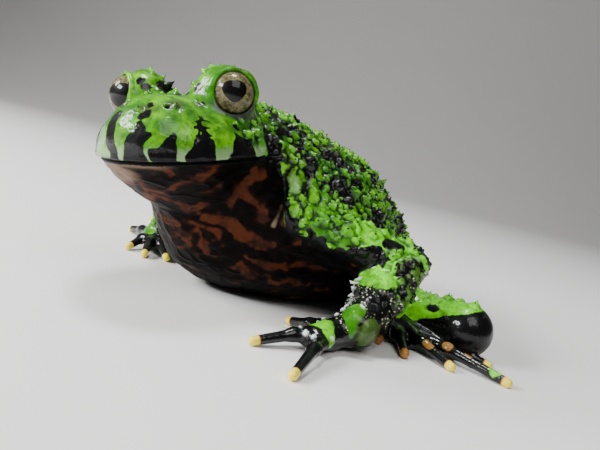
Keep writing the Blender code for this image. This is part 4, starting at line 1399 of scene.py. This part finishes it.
# the underside's orange, darker than its own colour as painted shade
SHADED_ORANGE = (0.090, 0.024, 0.009)
RED_BROWN = (0.036, 0.012, 0.008)
BELLY_BLACK = (0.0015, 0.001, 0.001)
BELLY_BROWN = (0.005, 0.0025, 0.002)
TIP_YELLOW = (1.0, 0.80, 0.06)
# the orange rim of every tip, and painted shade over the whole tips of the inner toes
TIP_ORANGE_AND_SHADE = (0.42, 0.17, 0.03)
SPOT_ORANGE = (0.34, 0.17, 0.035)
OLIVE = (0.052, 0.070, 0.020)
LILAC = (0.050, 0.042, 0.050)
# painted rim light on the right of the chin, and the pale lip edge and streak behind the jaw
PALE_AND_RIM_LIGHT = (0.25, 0.17, 0.115)
DOT = (0.55, 0.60, 0.30)
# painted sheen on the bumps of the left forearm and hand
SHEEN_WHITE = (0.86, 0.95, 0.92)


def upper_colour(n, fine, broad):
    """The greens of the upper side, with painted shade in the hollows between the warts, and painted light
    and painted glints on their tops.
    """
    bright = n.attribute("bright")
    shade = n.between(n.noise(0.5), 0.44, 0.66)
    mottle = n.between(n.noise(1.2, 4.0, 0.65), 0.50, 0.70)
    grain = n.between(n.noise(2.6, 2.0), 0.52, 0.66)
    relief = n.ragged("relief", fine, 0.14)
    glint = n.times(n.between(relief, 0.16, 0.30), n.between(fine, 0.50, 0.62))
    lit = n.math("SUBTRACT", 0.85, n.times(shade, 0.5))
    dim = n.math("SUBTRACT", 0.75, n.times(bright, 0.40))
    # how strongly the hollows get painted shade, less on the bright limbs
    hollow_shade = n.math("SUBTRACT", 1.0, n.times(bright, 0.45))
    olive = n.between(n.ragged("olive", fine, 1.2), 0.2, 0.8)
    ground = n.mix(n.between(broad, 0.40, 0.60), LIME, YELLOW_GREEN)
    return n.layered(
        ground,
        (n.times(bright, 0.85), BRIGHT_GREEN),
        (n.times(shade, dim), FOREST),
        (n.times(mottle, 0.65), DEEP_GREEN_AND_SHADE),
        (n.times(grain, 0.35), FOREST),
        # painted light on the warts' tops, partly their own paler green
        (n.times(n.between(relief, 0.03, 0.20), lit), PALE_AND_LIT_WART_GREEN),
        # painted glints on the warts' tops
        (n.times(glint, 0.6), PAINTED_GLINT),
        # painted shade in the hollows between the warts
        (n.times(n.between(relief, 0.01, -0.07), hollow_shade), DEEP_GREEN_AND_SHADE),
        (n.times(n.between(relief, -0.04, -0.12), hollow_shade), CREVICE_SHADE),
        # pale skin, and the painted highlight on the left forearm's green patch
        (n.between(n.ragged("pale", fine, 0.7), 0.25, 0.95), MINT_AND_HIGHLIGHT),
        (n.times(olive, 0.82), OLIVE),
        # painted shade in the hollows of the olive places
        (n.times(olive, n.between(relief, 0.0, -0.08)), CREVICE_SHADE),
    )


def under_colour(n, fine):
    """Orange bands on black, the orange darker than its own colour as painted shade, and paler at the chin,
    partly with painted rim light.
    """
    marbling = n.ragged("marbling", fine, 0.7)
    cloud = n.between(n.noise(0.6, 4.0, 0.6), 0.40, 0.64)
    orange = n.mix(cloud, SHADED_ORANGE, RED_BROWN)
    dark = n.mix(n.between(marbling, 0.1, 0.6), BELLY_BROWN, BELLY_BLACK)
    # painted rim light on the right of the chin, with the pale lip edge and streak
    return n.layered(orange, (n.between(marbling, -0.26, 0.16), dark), (n.attribute("chin"), PALE_AND_RIM_LIGHT))


def pale_dots(n, black):
    """Share of the small pale dots on the black of the arms."""
    speck = n.between(n.cells(2.9), 0.30, 0.20)
    speck = n.times(speck, n.between(n.noise(0.5, 1.0), 0.44, 0.52))
    return n.times(n.times(n.attribute("dots"), black), speck)


GRAIN_STRENGTH = 0.35       # of the bump that the skin's finest grain makes
GRAIN_HEIGHT = 0.05


def lay_grain(n):
    """The skin's finest grain, as a bump for the shader and its coat."""
    bump = n.add("ShaderNodeBump")
    bump.inputs["Strength"].default_value = GRAIN_STRENGTH
    bump.inputs["Distance"].default_value = GRAIN_HEIGHT * MM
    n.link(n.math("ADD", n.noise(3.2), n.times(n.cells(4.5), 0.6)), bump.inputs["Height"])
    for name in ("Normal", "Coat Normal"):
        n.link(bump.outputs["Normal"], n.shader.inputs[name])


def skin_material():
    n = Nodes("wet_skin")
    fine = n.noise(0.9, 4.0)
    edge = n.noise(1.3)
    belly = n.ragged("belly", edge, 0.5)
    black = n.between(n.ragged("black", edge, 0.5), -0.05, 0.05)
    upper = upper_colour(n, fine, n.noise(0.30))
    tips = n.attribute("tips")
    colour = n.layered(
        n.mix(n.between(belly, -0.08, 0.08), upper, under_colour(n, fine)),
        # black markings, and the black between warts that is partly painted shade
        (black, BLACK),
        (n.between(n.attribute("point"), 0.25, 0.5), BLACK),
        (pale_dots(n, black), DOT),
        # painted sheen on the bumps of the left forearm and hand
        (n.attribute("painted_sheen"), SHEEN_WHITE),
        (n.attribute("lilac"), LILAC),
        (n.between(n.ragged("orange", edge, 0.5), -0.05, 0.05), SPOT_ORANGE),
        # orange rims of the tips, and painted shade on the inner toes' tips
        (n.between(tips, 0.25, 0.5), TIP_ORANGE_AND_SHADE),
        (n.between(tips, 0.5, 0.8), TIP_YELLOW),
    )
    n.link(n.between(belly, -0.5, 0.8, 0.10, 0.03), n.shader.inputs["Specular IOR Level"])
    coat = n.between(belly, -1.3, 0.3, 0.55, 0.02)
    n.link(n.math("MAXIMUM", coat, n.attribute("gloss")), n.shader.inputs["Coat Weight"])
    lay_grain(n)
    return n.surface(colour, Roughness=0.42, Coat_Roughness=0.04)


IRIS_GOLD = (0.19, 0.17, 0.075)
IRIS_BROWN = (0.050, 0.045, 0.022)
IRIS_FLECK = (0.38, 0.32, 0.15)
IRIS_RING = (0.26, 0.17, 0.05)
IRIS_RIM = (0.010, 0.008, 0.006)
PUPIL_BLACK = (0.001, 0.001, 0.001)


def eye_material():
    n = Nodes("eye_gloss")
    iris = n.layered(
        n.mix(n.between(n.noise(2.4, 5.0, 0.7), 0.38, 0.62), IRIS_BROWN, IRIS_GOLD),
        (n.times(n.between(n.noise(5.0, 3.0, 0.6), 0.55, 0.7), 0.6), IRIS_FLECK),
        (n.times(n.attribute("ring"), 0.35), IRIS_RING),
        (n.attribute("rim"), IRIS_RIM),
        (n.between(n.attribute("pupil"), -0.03, 0.03), PUPIL_BLACK),
    )
    return n.surface(iris, Roughness=0.45, Specular_IOR_Level=0.1, Coat_Weight=0.5, Coat_Roughness=0.02)


FLOOR_TONES = ((0.88, 0.86, 0.85), (0.92, 0.90, 0.89))


def floor_material():
    n = Nodes("pale_floor")
    return n.surface(n.mix(n.noise(0.04, 2.0), *FLOOR_TONES), Roughness=0.75)


# ---------------------------------------------------------------- pieces

def build_skin(shift):
    obj, points, quads = fine_skin()
    skin = Skin(points, quads)
    base_normals = skin.normals
    belly = belly_field(skin)
    shape_mouth(skin)
    shape_nostrils(skin)
    shape_folds(skin)
    skin.refresh()
    shape_wrinkles(skin)
    skin.refresh()
    wart, point = raise_warts(skin)
    skin.points[:, 2] = np.maximum(skin.points[:, 2], 0.0)
    skin.refresh()
    mesh = obj.data
    lay_attributes(mesh, {
        "relief": relief_of(skin, base_normals), "point": point, "belly": belly,
        "black": black_field(skin, belly, wart), "marbling": belly_marbling(skin),
        "tips": digit_tips(skin), **local_tints(skin),
    })
    set_points(mesh, skin.points + shift)
    mesh.shade_smooth()
    mesh.materials.clear()
    mesh.materials.append(skin_material())
    nodes = [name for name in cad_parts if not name.startswith("eye_")]
    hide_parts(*nodes)
    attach(obj, "root")
    return obj


EYE_STEPS = 96              # round the eyeball
LOOKS = {       # of each eye: how far it looks outwards and up, and its pupil's radius; the right eye's larger pupil is painted shade over its iris
    1: (math.radians(31.0), 0.17, 1.07), -1: (math.radians(4.0), 0.10, 1.28),
}
PUPIL_FLATNESS = 1.14       # its width over its height
PUPIL_CORNERS = 0.09        # how far its three corners stand out, as a share of its radius
GOLD_RING = (0.08, 0.07)    # of the ring round the pupil: distance from its edge and half width
DARK_RIM = (1.95, 2.4)      # from the middle of the pupil, where the iris darkens


def look_axes(side):
    """Rows: to the right, up and out of an eye, the last one where it looks."""
    turn, look_rise, _ = LOOKS[side]
    look = np.array((math.cos(turn), side * math.sin(turn), look_rise))
    axis = Vector(HEAD_TURN @ look).normalized()
    right = Vector(HEAD_TURN[:, 2]).cross(axis).normalized()
    return np.array((right, axis.cross(right), axis))


def ball_mesh():
    """Points and faces of an eyeball round its own middle, with its poles on z."""
    polar = np.linspace(0.0, math.pi, EYE_STEPS // 2 + 1)[1:-1, None]
    turn = np.arange(EYE_STEPS) * 2 * math.pi / EYE_STEPS
    rows = np.stack([np.sin(polar) * np.cos(turn), np.sin(polar) * np.sin(turn),
                     np.cos(polar).repeat(EYE_STEPS, axis=1)], axis=-1)
    points = np.concatenate([rows.reshape(-1, 3), ((0, 0, 1), (0, 0, -1))]) * EYE_RADIUS
    front, back = len(points) - 2, len(points) - 1
    here = np.arange(front).reshape(-1, EYE_STEPS)
    following = np.roll(here, -1, axis=1)
    faces = np.stack([here[:-1], here[1:], following[1:], following[:-1]], axis=-1).reshape(-1, 4).tolist()
    faces += [(front, *pair) for pair in zip(here[0].tolist(), following[0].tolist())]
    faces += [(back, *pair) for pair in zip(following[-1].tolist(), here[-1].tolist())]
    return points, faces


def build_eye(name, side, shift, material):
    """An eyeball with its iris and pupil round the direction in which it looks."""
    local, faces = ball_mesh()
    obj = mesh_object(name, eye_centre(side) + local @ look_axes(side) + shift, faces)
    angle = np.arctan2(local[:, 1], local[:, 0])
    reach = np.arccos(np.clip(local[:, 2] / EYE_RADIUS, -1.0, 1.0)) * EYE_RADIUS
    reach_flat = reach * np.hypot(np.cos(angle), PUPIL_FLATNESS * np.sin(angle))
    edge = LOOKS[side][2] * (1.0 + PUPIL_CORNERS * np.cos(3 * (angle + math.pi / 2)))
    ring_middle, ring_half = GOLD_RING
    lay_attributes(obj.data, {
        "pupil": edge - reach_flat,
        "ring": bell(reach_flat - edge, ring_middle, ring_half),
        "rim": rise(reach, *DARK_RIM),
    })
    obj.data.shade_smooth()
    obj.data.materials.append(material)
    return obj


# ---------------------------------------------------------------- camera, light and floor

CAMERA_PLACE = np.array((47.9, 46.8, 16.7))
CAMERA_TURN = math.radians(40.5)
CAMERA_RISE = math.radians(7.65)
CAMERA_ROLL = math.radians(14.0)
SENSOR = 36.0
LENS = 37.2


def build_camera(shift):
    data = bpy.data.cameras.new("camera")
    data.sensor_width = SENSOR
    data.lens = LENS
    data.clip_start = 1.0 * MM
    camera = new_object("camera", data)
    back = Vector((math.cos(CAMERA_RISE) * math.cos(CAMERA_TURN),
                   math.cos(CAMERA_RISE) * math.sin(CAMERA_TURN), math.sin(CAMERA_RISE)))
    right = Vector((0.0, 0.0, 1.0)).cross(back).normalized()
    up = back.cross(right)
    roll = Matrix.Rotation(CAMERA_ROLL, 3, back)
    turn = Matrix((roll @ right, roll @ up, back)).transposed().to_4x4()
    camera.matrix_world = Matrix.Translation((CAMERA_PLACE + shift) * MM) @ turn
    bpy.context.scene.camera = camera
    return camera


LIGHTS = (      # name, place and aim in millimetres, width and height, power in watts, colour
    ("key", (145.0, -185.0, 140.0), (0.0, 0.0, 8.0), (76.0, 76.0), 0.58, (1.0, 0.99, 0.96)),
    ("fill", (80.0, 150.0, 230.0), (0.0, 0.0, 8.0), (160.0, 160.0), 0.30, (1.0, 1.0, 0.98)),
    ("top", (-5.0, -50.0, 290.0), (0.0, 0.0, 8.0), (60.0, 60.0), 0.53, (0.97, 0.99, 1.0)),
    ("glint", (172.0, -58.0, 97.0), (12.0, 5.0, 19.0), (78.0, 44.0), 0.50, (0.97, 0.99, 1.0)),
)
WORLD_GREY = 0.065


def build_lights():
    for name, place, aim, size, power, colour in LIGHTS:
        data = bpy.data.lights.new(name, "AREA")
        data.shape = "RECTANGLE"
        data.size = size[0] * MM
        data.size_y = size[1] * MM
        data.energy = power
        data.color = colour
        lamp = new_object(name, data)
        lamp.location = Vector(place) * MM
        lamp.rotation_euler = (Vector(place) - Vector(aim)).to_track_quat("Z", "Y").to_euler()
    world = bpy.data.worlds.new("studio")
    world.use_nodes = True
    background = world.node_tree.nodes["Background"]
    background.inputs["Color"].default_value = (WORLD_GREY, WORLD_GREY, WORLD_GREY, 1.0)
    bpy.context.scene.world = world


FLOOR_REACH = 1500.0        # towards the camera and to the sides
FLOOR_BACK = 260.0          # where the floor begins to curve up behind the toad
SWEEP_RADIUS = 240.0
WALL_HEIGHT = 1200.0
SWEEP_STEPS = 24


def build_floor():
    """A floor that curves up into a wall behind the toad, so that no horizon shows."""
    profile = [(-FLOOR_REACH, 0.0)]
    for step in range(SWEEP_STEPS + 1):
        turn = 0.5 * math.pi * step / SWEEP_STEPS
        profile.append((FLOOR_BACK + SWEEP_RADIUS * math.sin(turn),
                        SWEEP_RADIUS * (1.0 - math.cos(turn))))
    profile.append((FLOOR_BACK + SWEEP_RADIUS, WALL_HEIGHT))
    away = np.array((-math.cos(CAMERA_TURN), -math.sin(CAMERA_TURN), 0.0))
    side = np.array((-away[1], away[0], 0.0))
    rise_up = np.array((0.0, 0.0, 1.0))
    points = np.array([away * reach + rise_up * height + side * edge * FLOOR_REACH
                       for reach, height in profile for edge in (-1, 1)])
    faces = [(2 * row, 2 * row + 2, 2 * row + 3, 2 * row + 1) for row in range(len(profile) - 1)]
    floor = mesh_object("floor", points, faces)
    floor.data.shade_smooth()
    floor.data.materials.append(floor_material())


def frame_shift():
    """From the source's places to the frame's, read from where the eyes are in the frame."""
    found = [np.mean(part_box(name), axis=0) / MM for name in ("eye_left", "eye_right")]
    return np.mean(found, axis=0) - (eye_centre(1) + eye_centre(-1)) / 2


def main():
    shift = frame_shift()
    shift[2] = 0.0
    build_skin(shift)
    gloss = eye_material()
    for name, side in (("eye_left", 1), ("eye_right", -1)):
        eye = build_eye(name + "_ball", side, shift, gloss)
        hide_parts(name)
        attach(eye, "root")
    build_camera(shift)
    build_lights()
    build_floor()


main()
